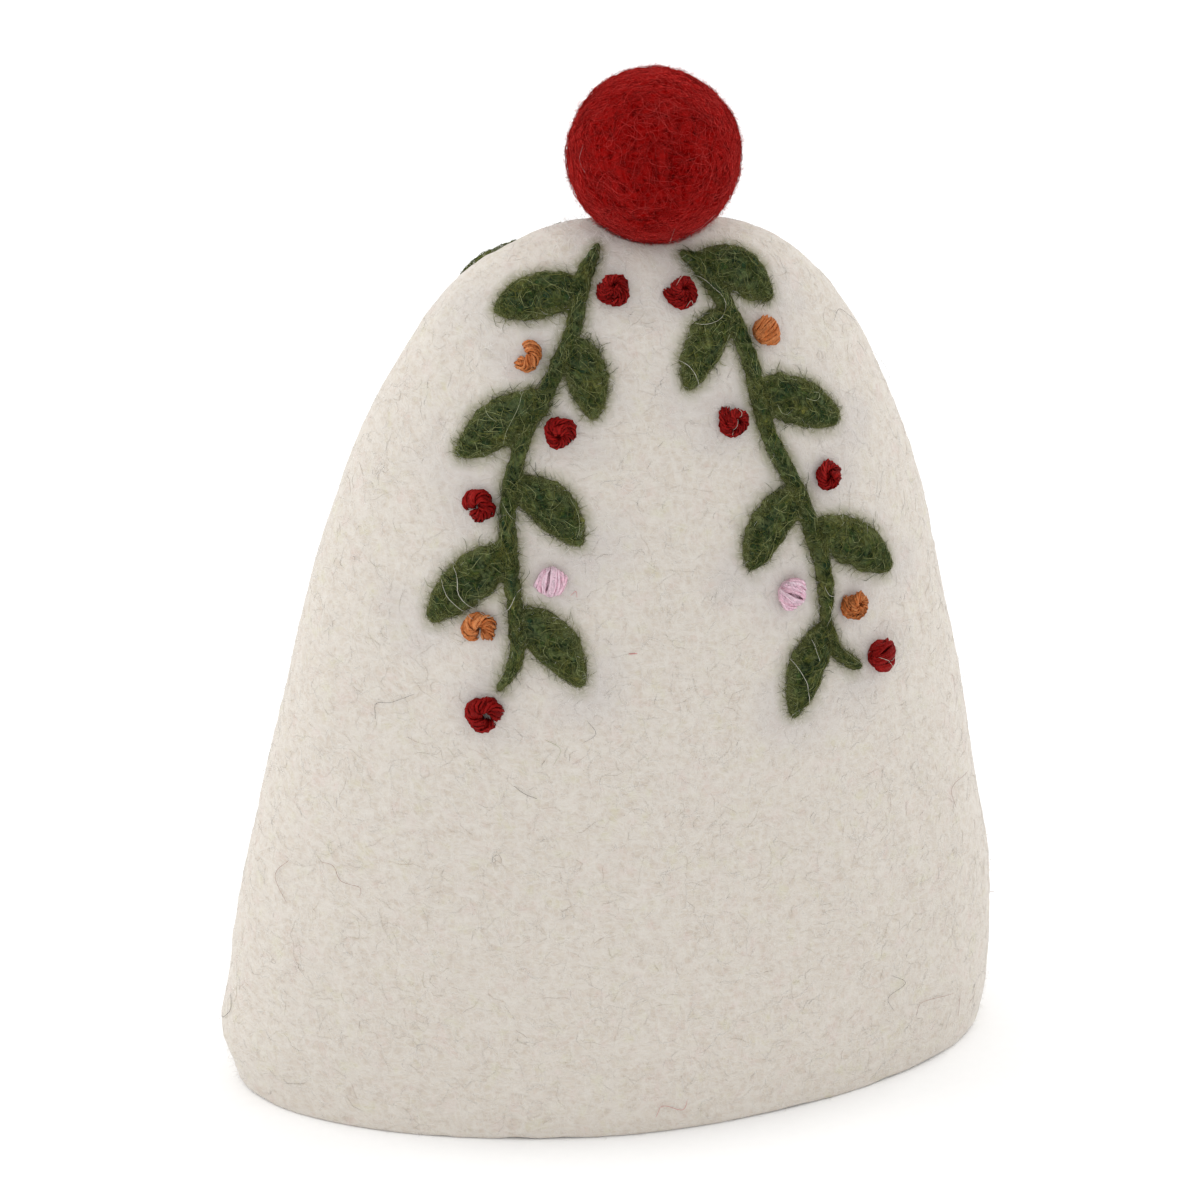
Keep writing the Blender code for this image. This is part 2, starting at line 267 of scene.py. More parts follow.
def in_scene(thing):
    """The object, put into the scene."""
    bpy.context.scene.collection.objects.link(thing)
    return thing


def mark_points(mesh, name, values):
    """Keeps a number for each point of a mesh, for its material to read."""
    values = np.asarray(values, np.float32)
    mesh.attributes.new(name, "FLOAT", "POINT").data.foreach_set("value", values)


def move_points(mesh, points):
    mesh.vertices.foreach_set("co", points.astype(np.float32).ravel())
    mesh.update()


def new_object(name, points, faces, material, tints=None):
    """A smooth-shaded object of triangles or quads, with an optional tint for each point."""
    mesh = bpy.data.meshes.new(name)
    sides = faces.shape[1]
    mesh.vertices.add(len(points))
    mesh.vertices.foreach_set("co", points.astype(np.float32).ravel())
    mesh.loops.add(faces.size)
    mesh.loops.foreach_set("vertex_index", faces.astype(np.int32).ravel())
    mesh.polygons.add(len(faces))
    mesh.polygons.foreach_set("loop_start", np.arange(0, faces.size, sides, dtype=np.int32))
    mesh.update(calc_edges=True)
    mesh.shade_smooth()
    if tints is not None:
        mark_points(mesh, "tint", tints)
    mesh.materials.append(material)
    return in_scene(bpy.data.objects.new(name, mesh))


def finish_piece(piece, slot, *nodes):
    """Rides the piece on the part and hides the solids that it stands for."""
    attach(piece, "root")
    if nodes:
        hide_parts(*nodes)


def mesh_arrays(mesh):
    """A mesh's points, its triangles and its normals at the points."""
    points = np.empty(len(mesh.vertices) * 3, np.float32)
    mesh.vertices.foreach_get("co", points)
    normals = np.empty(len(mesh.vertices) * 3, np.float32)
    mesh.vertex_normals.foreach_get("vector", normals)
    mesh.calc_loop_triangles()
    triangles = np.empty(len(mesh.loop_triangles) * 3, np.int32)
    mesh.loop_triangles.foreach_get("vertices", triangles)
    return (points.reshape(-1, 3).astype(float), triangles.reshape(-1, 3),
            normals.reshape(-1, 3).astype(float))


class Surface:
    """A mesh on which fibres start and lie."""

    def __init__(self, points, triangles, normals):
        self.points, self.triangles, self.normals = points, triangles, normals
        corners = points[triangles]
        sides = np.cross(corners[:, 1] - corners[:, 0], corners[:, 2] - corners[:, 0])
        self.areas = np.linalg.norm(sides, axis=1) / 2
        self.tree = search_tree(points, triangles)

    def sample(self, rng, count, weights=None):
        """Random places on the surface, with the normal at each."""
        shares = self.areas if weights is None else self.areas * weights[self.triangles].mean(axis=1)
        picked = self.triangles[rng.choice(len(shares), count, p=shares / shares.sum())]
        corner_shares = rng.dirichlet((1, 1, 1), count)[:, :, None]
        starts = (self.points[picked] * corner_shares).sum(axis=1)
        return starts, unit((self.normals[picked] * corner_shares).sum(axis=1))

    def settle(self, points, heights):
        """The points moved to these heights over the nearest places of the surface."""
        settled = np.empty_like(points)
        flat, out, lift = points.reshape(-1, 3), settled.reshape(-1, 3), heights.ravel()
        for i, point in enumerate(flat):
            place, normal, _, _ = self.tree.find_nearest(point)
            out[i] = place + normal * lift[i]
        return settled


def tangents_of(normals, rng):
    """A random direction along the surface for each normal, and the one square to it."""
    along = unit(np.cross(normals, unit(rng.normal(size=normals.shape))))
    return along, np.cross(normals, along)


OFF_FLOOR = 0.04 * MM  # the lowest that a fibre's middle line lies


def tube_arrays(paths, radii, profile):
    """The points and triangles of three-sided tubes along (count, steps, 3) paths, pointed at both ends.

    profile gives the share of the radius at each inner step.
    """
    count, steps, _ = paths.shape
    heading = unit(np.gradient(paths, axis=1))
    side = unit(np.cross(heading, np.array([0.36, 0.48, 0.8])))
    other = np.cross(heading, side)
    turns = 2 * np.pi / 3 * np.arange(3)
    ring = (side[:, 1:-1, None] * np.cos(turns)[:, None] + other[:, 1:-1, None] * np.sin(turns)[:, None])
    reach = radii[:, None, None, None] * profile[None, :, None, None]
    rings = paths[:, 1:-1, None] + ring * reach
    inner = steps - 2
    points = np.concatenate([paths[:, :1], rings.reshape(count, inner * 3, 3), paths[:, -1:]], axis=1)
    nexts = [1, 2, 0]
    faces = [(0, 1 + nexts[k], 1 + k) for k in range(3)]
    for row in range(inner - 1):
        low, high = 1 + 3 * row, 4 + 3 * row
        for k in range(3):
            faces.append((low + k, low + nexts[k], high + nexts[k]))
            faces.append((low + k, high + nexts[k], high + k))
    last = 1 + 3 * (inner - 1)
    faces += [(last + k, last + nexts[k], last + 3) for k in range(3)]
    size = 2 + 3 * inner
    faces = np.array(faces)[None] + size * np.arange(count)[:, None, None]
    return points.reshape(-1, 3), faces.reshape(-1, 3)


def fibre_piece(name, slot, paths, radii, tints, material):
    """Makes one piece of many fibres, each in one tint."""
    inner = paths.shape[1] - 2
    profile = np.interp(np.linspace(0, 1, inner), [0, 0.3, 1], [0.75, 1, 0.7])
    paths[..., 2] = np.maximum(paths[..., 2], OFF_FLOOR)
    points, faces = tube_arrays(paths, radii, profile)
    finish_piece(new_object(name, points, faces, material, np.repeat(tints, 2 + 3 * inner)), slot)


def curled_paths(rng, starts, along, across, lengths, steps, curl, wobble=0.5):
    """Flat curled lines from the starts, in the planes of the two directions."""
    count = len(starts)
    share = np.linspace(0, 1, steps)[None]
    bend = rng.normal(0, curl, (count, 1))
    phase = rng.uniform(0, 2 * np.pi, (count, 1))
    angle = bend * (share - 0.5) * 2 + wobble * np.sin(2 * np.pi * share + phase)
    run = lengths[:, None] / (steps - 1)
    ahead = np.cumsum(np.cos(angle) * run, axis=1) - run
    aside = np.cumsum(np.sin(angle) * run, axis=1) - run
    middle = steps // 2
    ahead, aside = ahead - ahead[:, middle:middle + 1], aside - aside[:, middle:middle + 1]
    return starts[:, None] + along[:, None] * ahead[..., None] + across[:, None] * aside[..., None]


def lying_fibres(rng, surface, count, length, radius, steps=5, curl=0.9, loft=0.12 * MM, weights=None):
    """Paths and radii of curled fibres that lie on a surface, their ends drawn into it."""
    starts, normals = surface.sample(rng, count, weights)
    along, across = tangents_of(normals, rng)
    lengths = length * rng.uniform(0.5, 1.5, count)
    paths = curled_paths(rng, starts, along, across, lengths, steps, curl)
    arch = np.sin(np.pi * np.linspace(0, 1, steps))[None]
    heights = (arch * rng.uniform(0.3, 1.6, (count, 1)) - 0.2) * loft
    return surface.settle(paths, heights), radius * rng.uniform(0.6, 1.3, count)


def standing_fibres(rng, surface, count, length, radius, steps=4, lean=0.8, weights=None):
    """Paths and radii of short fibres that stand out of a surface and bend over."""
    starts, normals = surface.sample(rng, count, weights)
    along, across = tangents_of(normals, rng)
    lengths = (length * rng.uniform(0.4, 1.5, count))[:, None, None]
    share = np.linspace(0, 1, steps)[None, :, None]
    tilt = rng.uniform(0.2, 1, (count, 1, 1)) * lean
    rise = share * (1 - 0.45 * tilt * share)
    sway = rng.normal(0, 0.35, (count, 1, 1)) * np.sin(np.pi * share)
    paths = starts[:, None] + lengths * (
        normals[:, None] * (rise - 0.1) + along[:, None] * tilt * share**1.5 + across[:, None] * sway)
    return paths, radius * rng.uniform(0.6, 1.3, count)


# Materials. Texture scales are features per metre.


class Finish:
    """A material's nodes, with short ways to add and link them."""

    def __init__(self, name, roughness, sheen, shine=0.04, sheen_tint=(1, 1, 1), sheen_spread=0.3):
        self.material = bpy.data.materials.new(name)
        self.material.use_nodes = True
        self.tree = self.material.node_tree
        self.shader = self.tree.nodes["Principled BSDF"]
        self.shader.inputs["Roughness"].default_value = roughness
        self.shader.inputs["Specular IOR Level"].default_value = shine
        self.shader.inputs["Sheen Weight"].default_value = sheen
        self.shader.inputs["Sheen Roughness"].default_value = sheen_spread
        self.shader.inputs["Sheen Tint"].default_value = (*sheen_tint, 1)
        self.coords = self.add("ShaderNodeTexCoord").outputs["Object"]

    def add(self, kind, **settings):
        node = self.tree.nodes.new(kind)
        for name, value in settings.items():
            setattr(node, name, value)
        return node

    def link(self, source, socket):
        """Links an output to an input, or sets the input to a number, a colour or a vector."""
        if isinstance(source, bpy.types.NodeSocket):
            self.tree.links.new(source, socket)
        else:
            socket.default_value = source

    def noise(self, scale, detail=3, roughness=0.5, distortion=0.0, coords=None):
        node = self.add("ShaderNodeTexNoise")
        node.inputs["Scale"].default_value = scale
        node.inputs["Detail"].default_value = detail
        node.inputs["Roughness"].default_value = roughness
        node.inputs["Distortion"].default_value = distortion
        self.link(coords or self.coords, node.inputs["Vector"])
        return node.outputs["Fac"]

    def math(self, operation, a, b=0.0):
        node = self.add("ShaderNodeMath", operation=operation)
        self.link(a, node.inputs[0])
        self.link(b, node.inputs[1])
        return node.outputs[0]

    def spread(self, value, low, high, to_low=0.0, to_high=1.0):
        """The value mapped from one range to another and held inside it."""
        node = self.add("ShaderNodeMapRange")
        self.link(value, node.inputs["Value"])
        for name, number in (("From Min", low), ("From Max", high), ("To Min", to_low), ("To Max", to_high)):
            node.inputs[name].default_value = number
        return node.outputs["Result"]

    def scaled(self, value, share):
        return self.math("MULTIPLY", value, share)

    def veil(self, base, value, share, colour):
        """The base with a colour laid over it by a share of a value."""
        return self.mix(self.scaled(value, share), base, colour)

    def mix(self, share, a, b):
        node = self.add("ShaderNodeMix", data_type="RGBA")
        for source, name in ((share, "Factor_Float"), (a, "A_Color"), (b, "B_Color")):
            socket = next(s for s in node.inputs if s.identifier == name)
            if isinstance(source, tuple):
                source = (*source, 1)
            self.link(source, socket)
        return next(s for s in node.outputs if s.identifier == "Result_Color")

    def warped(self, scale, reach):
        """Coordinates that wander by up to this reach, so that patterns curl as wool does."""
        wander = self.add("ShaderNodeTexNoise")
        wander.inputs["Scale"].default_value = scale
        wander.inputs["Detail"].default_value = 1
        self.link(self.coords, wander.inputs["Vector"])
        centred = self.add("ShaderNodeVectorMath", operation="SUBTRACT")
        self.link(wander.outputs["Color"], centred.inputs[0])
        centred.inputs[1].default_value = (0.5, 0.5, 0.5)
        sized = self.add("ShaderNodeVectorMath", operation="SCALE")
        self.link(centred.outputs[0], sized.inputs[0])
        sized.inputs["Scale"].default_value = reach
        moved_on = self.add("ShaderNodeVectorMath", operation="ADD")
        self.link(self.coords, moved_on.inputs[0])
        self.link(sized.outputs[0], moved_on.inputs[1])
        return moved_on.outputs[0]

    def strands(self, scale, stretch, rotations, warp_scale, warp_reach):
        """Tangled strands from 0 to 1: thin ridges drawn out along several directions."""
        curled = self.warped(warp_scale, warp_reach)
        found = None
        for rotation in rotations:
            turned = self.add("ShaderNodeMapping")
            turned.inputs["Rotation"].default_value = rotation
            self.link(curled, turned.inputs["Vector"])
            drawn = self.add("ShaderNodeMapping")
            drawn.inputs["Scale"].default_value = (1, 1, 1 / stretch)
            self.link(turned.outputs[0], drawn.inputs["Vector"])
            field = self.noise(scale, 1, 0.5, coords=drawn.outputs[0])
            ridge = self.math("ABSOLUTE", self.math("SUBTRACT", field, 0.5))
            strand = self.spread(ridge, 0.07, 0.0)
            found = strand if found is None else self.math("MAXIMUM", found, strand)
        return found

    def tint(self):
        return self.add("ShaderNodeAttribute", attribute_name="tint").outputs["Fac"]

    def ramp(self, value, *stops):
        """Colours along a value, from (place, colour) stops."""
        node = self.add("ShaderNodeValToRGB")
        elements = node.color_ramp.elements
        while len(elements) < len(stops):
            elements.new(0.5)
        for element, (place, colour) in zip(elements, stops):
            element.position = place
            element.color = (*colour, 1)
        self.link(value, node.inputs["Fac"])
        return node.outputs["Color"]

    def bump(self, height, distance, strength=1.0):
        node = self.add("ShaderNodeBump")
        node.inputs["Strength"].default_value = strength
        node.inputs["Distance"].default_value = distance
        self.link(height, node.inputs["Height"])
        self.link(node.outputs["Normal"], self.shader.inputs["Normal"])

    def colour(self, source):
        self.link(source, self.shader.inputs["Base Color"])
        return self.material


TANGLE = [(0.3, 0.2, 0.4), (1.3, 0.6, 0.1), (0.5, 1.4, 0.8), (2.1, 0.9, 1.9)]


def darker(colour, share):
    return tuple(part * share for part in colour)


def blended(a, b, share):
    return tuple(x + (y - x) * share for x, y in zip(a, b))


def chosen(settings, *names):
    """The settings' colours of these names."""
    return [tuple(getattr(settings, name)) for name in names]


def cream_felt(settings):
    """Wet-felted cream wool: beige painted shade in its pits, tangled pale strands, and greyer wool where it
    was needled, partly painted shade.
    """
    look = Finish("cream_felt", 0.92, 0.3, sheen_spread=0.35)
    cream, shade, pale, blush, straw, greened, needled = chosen(
        settings, "cream", "shade", "pale", "blush", "straw", "greened", "needled")
    strands = look.strands(1300, 6, TANGLE[:3], 350, 1.6 * MM)
    fine = look.strands(2800, 6, TANGLE[2:], 700, 0.9 * MM)
    pits = look.noise(1250, 4, 0.6)
    # The pits, the low places of the bump, are painted in the shade colour: painted shade in the felt's
    # hollows.
    base = look.ramp(
        pits, (0.30, blended(shade, cream, 0.3)), (0.47, blended(shade, cream, 0.75)), (0.62, cream))
    drifts = look.noise(520, 3, 0.6, 0.3)
    base = look.mix(look.spread(drifts, 0.56, 0.72, 0, 0.55), base, blush)
    base = look.mix(look.spread(drifts, 0.43, 0.29, 0, 0.55), base, straw)
    base = look.veil(base, fine, 0.22, pale)
    base = look.veil(base, strands, 0.32, pale)
    # Around the sprigs the felt is veiled in the needled colour, greyer and darker than the cream: needled
    # wool and partly painted shade.
    base = look.veil(base, look.tint(), 0.5, needled)
    # The felt at the foot of the sprigs is painted olive-grey: green fibres drawn in, and painted shade where
    # the leaves stand over it.
    near_leaves = look.add("ShaderNodeAttribute", attribute_name="greened").outputs["Fac"]
    near_leaves = look.scaled(near_leaves, look.spread(strands, 0.0, 1.0, 0.5, 1.0))
    base = look.mix(near_leaves, base, greened)
    height = look.math("ADD", look.scaled(strands, 0.8), pits)
    look.bump(look.math("ADD", height, look.scaled(fine, 0.3)), 0.035 * MM, 0.8)
    return look.colour(base)


RED_GLOW = (1, 0.09, 0.08)  # the tint of the soft light that grazes dyed wool


def dyed_felt(name, colour, deep_and_shade, bright, pale):
    """Dyed felt: brighter strands and a few pale ones over pits painted dark, which is painted shade."""
    look = Finish(name, 0.9, 1.0, 0.0, RED_GLOW)
    strands = look.strands(1150, 7, TANGLE[:3], 330, 1.7 * MM)
    fine = look.strands(2600, 6, TANGLE[2:], 600, 1.0 * MM)
    pits = look.noise(1500, 4, 0.62)
    # The pits, the low places of the bump, are painted dark red: painted shade in the ball's hollows.
    base = look.ramp(pits, (0.36, deep_and_shade), (0.50, colour), (0.72, blended(colour, bright, 0.6)))
    base = look.veil(base, fine, 0.35, bright)
    base = look.veil(base, strands, 0.4, blended(bright, pale, 0.35))
    height = look.math("ADD", look.scaled(strands, 0.8), look.scaled(fine, 0.3))
    look.bump(look.math("ADD", height, pits), 0.12 * MM, 0.9)
    return look.colour(base)


def green_wool(settings):
    """Needled wool in several greens, laid in drifts of teal, leaf green and olive, with painted shade in its
    hollows.
    """
    look = Finish("green_wool", 0.95, 0.0, 0.0)
    leaf, deep_and_shade, teal, olive, light = chosen(settings, "leaf", "deep_and_shade", "teal", "olive", "light")
    strands = look.strands(1300, 6, TANGLE[:3], 380, 1.5 * MM)
    drifts = look.noise(420, 3, 0.6, 0.6)
    pits = look.noise(1500, 4, 0.65)
    base = look.ramp(drifts, (0.42, teal), (0.52, leaf), (0.66, olive))
    # The low places of the bump are painted nearly black green: painted shade in the leaves' hollows.
    base = look.mix(look.spread(pits, 0.60, 0.42, 0, 0.9), base, deep_and_shade)
    base = look.veil(base, look.tint(), 0.75, blended(olive, light, 0.45))
    base = look.veil(base, strands, 0.45, blended(leaf, light, 0.5))
    look.bump(look.math("ADD", look.scaled(strands, 0.9), pits), 0.28 * MM)
    return look.colour(base)


def loose_fibre(name, *stops, sheen=0.0, shine=0.05, sheen_tint=(1, 1, 1)):
    """Loose wool fibres, each in one colour of the ramp."""
    look = Finish(name, 0.75, sheen, shine, sheen_tint)
    return look.colour(look.ramp(look.tint(), *stops))


def yarn(name, colour, groove_shade, light):
    """Plied yarn: fine fibres drawn along it, with painted shade in its grooves and lighter strands that are
    partly painted highlights.
    """
    look = Finish(name, 0.55, 0.0, 0.08)
    strands = look.strands(2600, 5, TANGLE[:2], 700, 0.7 * MM)
    grain = look.noise(3200, 3, 0.6)
    tone = look.math("ADD", look.scaled(look.tint(), 0.65), look.scaled(grain, 0.35))
    # The lowest tints, which the filling under the strands takes, get the colour for the grooves: painted
    # shade between the strands.
    base = look.ramp(tone, (0.2, groove_shade), (0.5, colour), (0.95, blended(colour, light, 0.6)))
    # The light colour on the lighter strands and fibre streaks stands partly for the yarn's shine: painted
    # highlights.
    base = look.veil(base, strands, 0.25, light)
    look.bump(look.math("ADD", strands, grain), 0.08 * MM, 0.8)
    return look.colour(base)


def floor_paper(colour):
    """Smooth matt paper with a barely seen tooth."""
    look = Finish("floor_paper", 0.9, 0.0)
    tooth = look.noise(900, 3)
    look.bump(tooth, 0.02 * MM, 0.2)
    return look.colour(look.ramp(tooth, (0.3, darker(colour, 0.985)), (0.7, colour)))


# The user's sizes and colours. Colours are linear RGB.


def colour_property(name, description, default):
    return FloatVectorProperty(
        name=name, description=description, default=default, size=3, min=0, max=1, subtype="COLOR")


def length_property(name, description, default_mm):
    return FloatProperty(
        name=name, description=description, default=default_mm * MM, min=0, precision=5, unit="LENGTH",
        subtype="DISTANCE")


def count_property(name, description, default):
    return IntProperty(name=name, description=description, default=default, min=0)


class FeltSettings(bpy.types.PropertyGroup):
    wall: length_property("Wall", "Thickness of the felt", 3.0)
    lump: length_property("Lumps", "How far the felt's small lumps stand out", 0.11)
    flare: length_property("Flare", "How far the hem's corner bulges at -X", 0.9)
    hem_lift: length_property("Hem lift", "How far the uneven hem rises off the floor in places", 0.35)
    nap_length: length_property("Nap length", "Length of the fibres that stand out of the felt", 0.7)
    fibre_radius: length_property("Fibre radius", "Half the thickness of a wool fibre", 0.014)
    lying_count: count_property(
        "Lying fibres", "Fibres that lie on the front; the back has fewer", 3300)
    standing_count: count_property("Standing fibres", "Fibres that stand out of the felt", 11500)
    fluff_count: count_property("Fluff", "Long loose fibres around the sprigs and the ball", 4200)
    cream: colour_property("Cream", "Main colour of the wool", (0.62, 0.565, 0.495))
    # Painted shade for the felt's hollows; the darkest loose fibres take this colour too.
    shade: colour_property("Shade", "Colour of the wool in its hollows", (0.5, 0.425, 0.355))
    pale: colour_property("Pale", "Colour of the palest fibres", (0.72, 0.7, 0.665))
    blush: colour_property("Blush", "Rose-tinted drifts in the wool", (0.6, 0.485, 0.435))
    straw: colour_property("Straw", "Straw-tinted drifts in the wool", (0.58, 0.545, 0.4))
    # Olive-grey at the foot of the sprigs: green fibres, and painted shade.
    greened: colour_property(
        "Greened", "Green fibres drawn into the felt by the leaves", (0.22, 0.215, 0.11))
    # Greyer and darker than the cream: needled wool and partly painted shade.
    needled: colour_property("Needled", "Whiter wool around the sprigs", (0.54, 0.505, 0.495))


class BallSettings(bpy.types.PropertyGroup):
    lump: length_property("Lumps", "How far the ball's small lumps stand out", 0.13)
    fibre_radius: length_property("Fibre radius", "Half the thickness of a wool fibre", 0.021)
    web_count: count_property("Web fibres", "Fibres wound over the ball", 2400)
    halo_count: count_property("Halo fibres", "Fibres standing out of the ball", 10000)
    crimson: colour_property("Crimson", "Main colour of the ball", (0.15, 0.0005, 0.0004))
    # Painted shade for the ball's pits; the darkest loose fibres take this colour too.
    deep_and_shade: colour_property("Deep crimson", "Colour of the ball in its pits", (0.045, 0, 0))
    bright: colour_property("Bright red", "Colour of its brighter strands", (0.34, 0.0035, 0.003))
    rose: colour_property("Rose", "Colour of its palest fibres", (0.46, 0.045, 0.04))


class SprigSettings(bpy.types.PropertyGroup):
    voxel: length_property("Fusing size", "Smallest detail of the needled wool", 0.21)
    relief: length_property("Relief", "How far a leaf stands out of the felt", 1.1)
    leaf_fibres: count_property("Leaf fibres", "Fibres on each leaf", 215)
    edge_fibres: count_property("Edge fibres", "Fibres that fray out of a leaf", 170)
    rim_fibres: count_property("Rim fibres", "Short fuzz along a leaf's edge", 700)
    fuzz_count: count_property("Nap", "Short fibres that stand out of each sprig", 1200)
    stem_fibres: count_property("Stem fibres", "Fibres along each stem", 320)
    leaf: colour_property("Leaf green", "Main colour of the leaves", (0.046, 0.077, 0.020))
    # Painted shade for the leaves' hollows; the darkest green fibres take this colour too.
    deep_and_shade: colour_property("Deep green", "Colour in the leaves' hollows", (0.009, 0.015, 0.006))
    teal: colour_property("Teal", "Bluish drifts in the leaves", (0.021, 0.048, 0.025))
    olive: colour_property("Olive", "Yellowish drifts in the leaves", (0.15, 0.15, 0.036))
    light: colour_property("Light green", "Colour of the brightest fibres", (0.3, 0.325, 0.15))


class YarnSettings(bpy.types.PropertyGroup):
    size: FloatProperty(
        name="Size", description="Width of each knot, as a share of its usual width", default=1.0)
    red: colour_property("Red", "Colour of the red yarn", (0.215, 0.0022, 0.0018))
    orange: colour_property("Orange", "Colour of the orange yarn", (0.5, 0.135, 0.033))
    pink: colour_property("Pink", "Colour of the pink yarn", (0.9, 0.57, 0.69))


class StageSettings(bpy.types.PropertyGroup):
    floor_size: length_property("Floor", "Width of the floor", 6000)
    floor: colour_property("Floor colour", "Colour of the floor", (0.97, 0.97, 0.97))
    sky: FloatProperty(name="Surrounding light", description="Strength of the even light", default=0.94)
    key: FloatProperty(name="Key light", description="Power of the key light", default=4.4, unit="POWER")
    fill: FloatProperty(name="Fill light", description="Power of the fill light", default=3.8, unit="POWER")


class CosySettings(bpy.types.PropertyGroup):
    felt: PointerProperty(type=FeltSettings)
    ball: PointerProperty(type=BallSettings)
    sprigs: PointerProperty(type=SprigSettings)
    yarns: PointerProperty(type=YarnSettings)
    stage: PointerProperty(type=StageSettings)


# The stage.

CAMERA_DISTANCE = 0.55
CAMERA_TURN, CAMERA_RISE = math.radians(11.2), math.radians(26)
CAMERA_TARGET = Vector((-1.06, 0.21, 47.6)) * MM
CAMERA_LENS_MM = 176.3
LIGHT_WIDTH = 0.8


def add_camera():
    data = bpy.data.cameras.new("camera")
    data.lens = CAMERA_LENS_MM
    data.sensor_width = 36
    data.clip_start, data.clip_end = 0.01, 20
    camera = in_scene(bpy.data.objects.new("camera", data))
    level = math.cos(CAMERA_RISE)
    away = Vector((
        -math.sin(CAMERA_TURN) * level, -math.cos(CAMERA_TURN) * level, math.sin(CAMERA_RISE)))
    camera.location = CAMERA_TARGET + away * CAMERA_DISTANCE
    camera.rotation_euler = away.to_track_quat("Z", "Y").to_euler()
    bpy.context.scene.camera = camera


def add_soft_light(name, hand, power):
    """A wide soft light beside the object and a little behind it."""
    place = (hand * 0.8, 0.25, 0.7)
    data = bpy.data.lights.new(name, "AREA")
    data.shape = "DISK"
    data.size = LIGHT_WIDTH
    data.energy = power
    light = in_scene(bpy.data.objects.new(name, data))
    light.location = place
    light.rotation_euler = (Vector(place) - CAMERA_TARGET).to_track_quat("Z", "Y").to_euler()


class COSY_OT_stage(bpy.types.Operator):
    """Adds the floor, the soft lights and the camera"""
    bl_idname = "egg_cosy.stage"
    bl_label = "Stage"

    def execute(self, context):
        stage = context.scene.egg_cosy.stage
        half = stage.floor_size / 2
        corners = np.array([(-half, -half, 0), (half, -half, 0), (half, half, 0), (-half, half, 0)])
        floor = new_object(
            "floor", corners, np.array([[0, 1, 2, 3]]), floor_paper(tuple(stage.floor)))
        add_soft_light("key_light", -1, stage.key)
        add_soft_light("fill_light", 1, stage.fill)
        add_camera()
        world = bpy.data.worlds.new("studio")
        world.use_nodes = True
        light = world.node_tree.nodes["Background"]
        light.inputs["Color"].default_value = (1, 1, 1, 1)
        light.inputs["Strength"].default_value = stage.sky
        context.scene.world = world
        context.scene.view_settings.view_transform = "Standard"
        return {"FINISHED"}


# The felt bell.

AROUND, OUTSIDE_ROWS, HEM_STEPS, INSIDE_ROWS = 250, 116, 5, 14
OUTSIDE_POINTS = 1 + AROUND * (OUTSIDE_ROWS + HEM_STEPS)
SEAT_GAP = 0.05 * MM
# The sizes of the felt's swells and lumps, and of the lifts along its hem.
FELT_SWELL, FELT_LUMP, HEM_LUMP = 11 * MM, 1.9 * MM, 6 * MM
HEM_REACH = 1.5 * MM  # how far up from the floor the hem's own unevenness reaches
# The bulge of the hem's corner at -X: where it starts, how wide it grows, its height and its reach.
FLARE_START, FLARE_WIDTH, FLARE_HEIGHT, FLARE_REACH = 18 * MM, 17 * MM, 6 * MM, 3.6 * MM
NEEDLED_REACH, NEEDLED_PATCH = 4.2 * MM, 5 * MM
# The felt's loose fibres: their lengths, how far the lying ones stand off, and where the fluff grows.
LYING_LENGTH, LYING_LOFT, FLUFF_LENGTH = 2.4 * MM, 0.035 * MM, 1.1 * MM
FLUFF_FLOOR, COLLAR = 30 * MM, 4 * MM


def pressed_clear(points, radius):
    """The points, with those inside a sphere around the ball's middle moved out to it."""
    away = points - BALL_CENTRE
    distance = np.linalg.norm(away, axis=-1, keepdims=True)
    return BALL_CENTRE + away / distance * np.maximum(distance, radius)


def bell_rings(shape, from_ridge, angles):
    """Rings of a bell, each at its share of the way from the ridge to the hem."""
    turn = np.pi / 2 * (1 - from_ridge**ROWS_TO_RIDGE)
    rise = np.sin(turn) ** (2 / WIDTH_FALL)
    return bell_points(shape, angles[None], rise[:, None])


def hem_rings(outer, inner, wall):
    """Rings around the rounded edge of the hem, from its outside to its inside."""
    turns = np.linspace(0, np.pi / 2, HEM_STEPS)
    into = HEM_ROUND * (1 - np.cos(turns))
    into = np.concatenate([into, wall - into[::-1]])
    height = HEM_ROUND * (1 - np.sin(turns))
    height = np.concatenate([height, height[::-1]])
    rings = outer[None] + (inner - outer)[None] * (into / wall)[:, None, None]
    rings[..., 2] = height[:, None]
    return rings


def ring_faces(rings, around):
    """Triangles of a closed stack of rings between a first and a last point."""
    this = np.arange(around)
    after = (this + 1) % around
    first = 1 + around * np.arange(rings - 1)[:, None]
    low, high = first, first + around
    walls = np.stack([
        np.stack([low + this, high + this, high + after], axis=-1),
        np.stack([low + this, high + after, low + after], axis=-1)], axis=2).reshape(-1, 3)
    last = 1 + around * (rings - 1)
    top = np.stack([np.zeros(around, int), 1 + this, 1 + after], axis=-1)
    bottom = np.stack([np.full(around, last + around), last + after, last + this], axis=-1)
    return np.concatenate([top, walls, bottom])


def sprig_places(sprig):
    """Places all over a sprig, in metres across and down."""
    routes = [sprig.stem, *sprig.twigs, *([leaf.base, leaf.tip] for leaf in sprig.leaves)]
    places = [along_route(route, share)[0] for route in routes for share in np.linspace(0, 1, 12)]
    places += [berry.place for berry in sprig.berries]
    return np.array([tuple(place) for place in places]) * MM


def needled_share(points):
    """How much of the greyer needled wool, partly painted shade, shows at each point of the felt."""
    nearest = np.full(len(points), np.inf)
    for face, sprig in SPRIGS.values():
        places = sprig_places(sprig)
        centres = felt_points(face, places[:, 0], places[:, 1])
        for centre in centres:
            nearest = np.minimum(nearest, np.linalg.norm(points - centre, axis=1))
    patch = lumps(points, NEEDLED_PATCH, 4)
    return np.clip(1.2 - nearest / NEEDLED_REACH + 0.5 * patch, 0, 1)


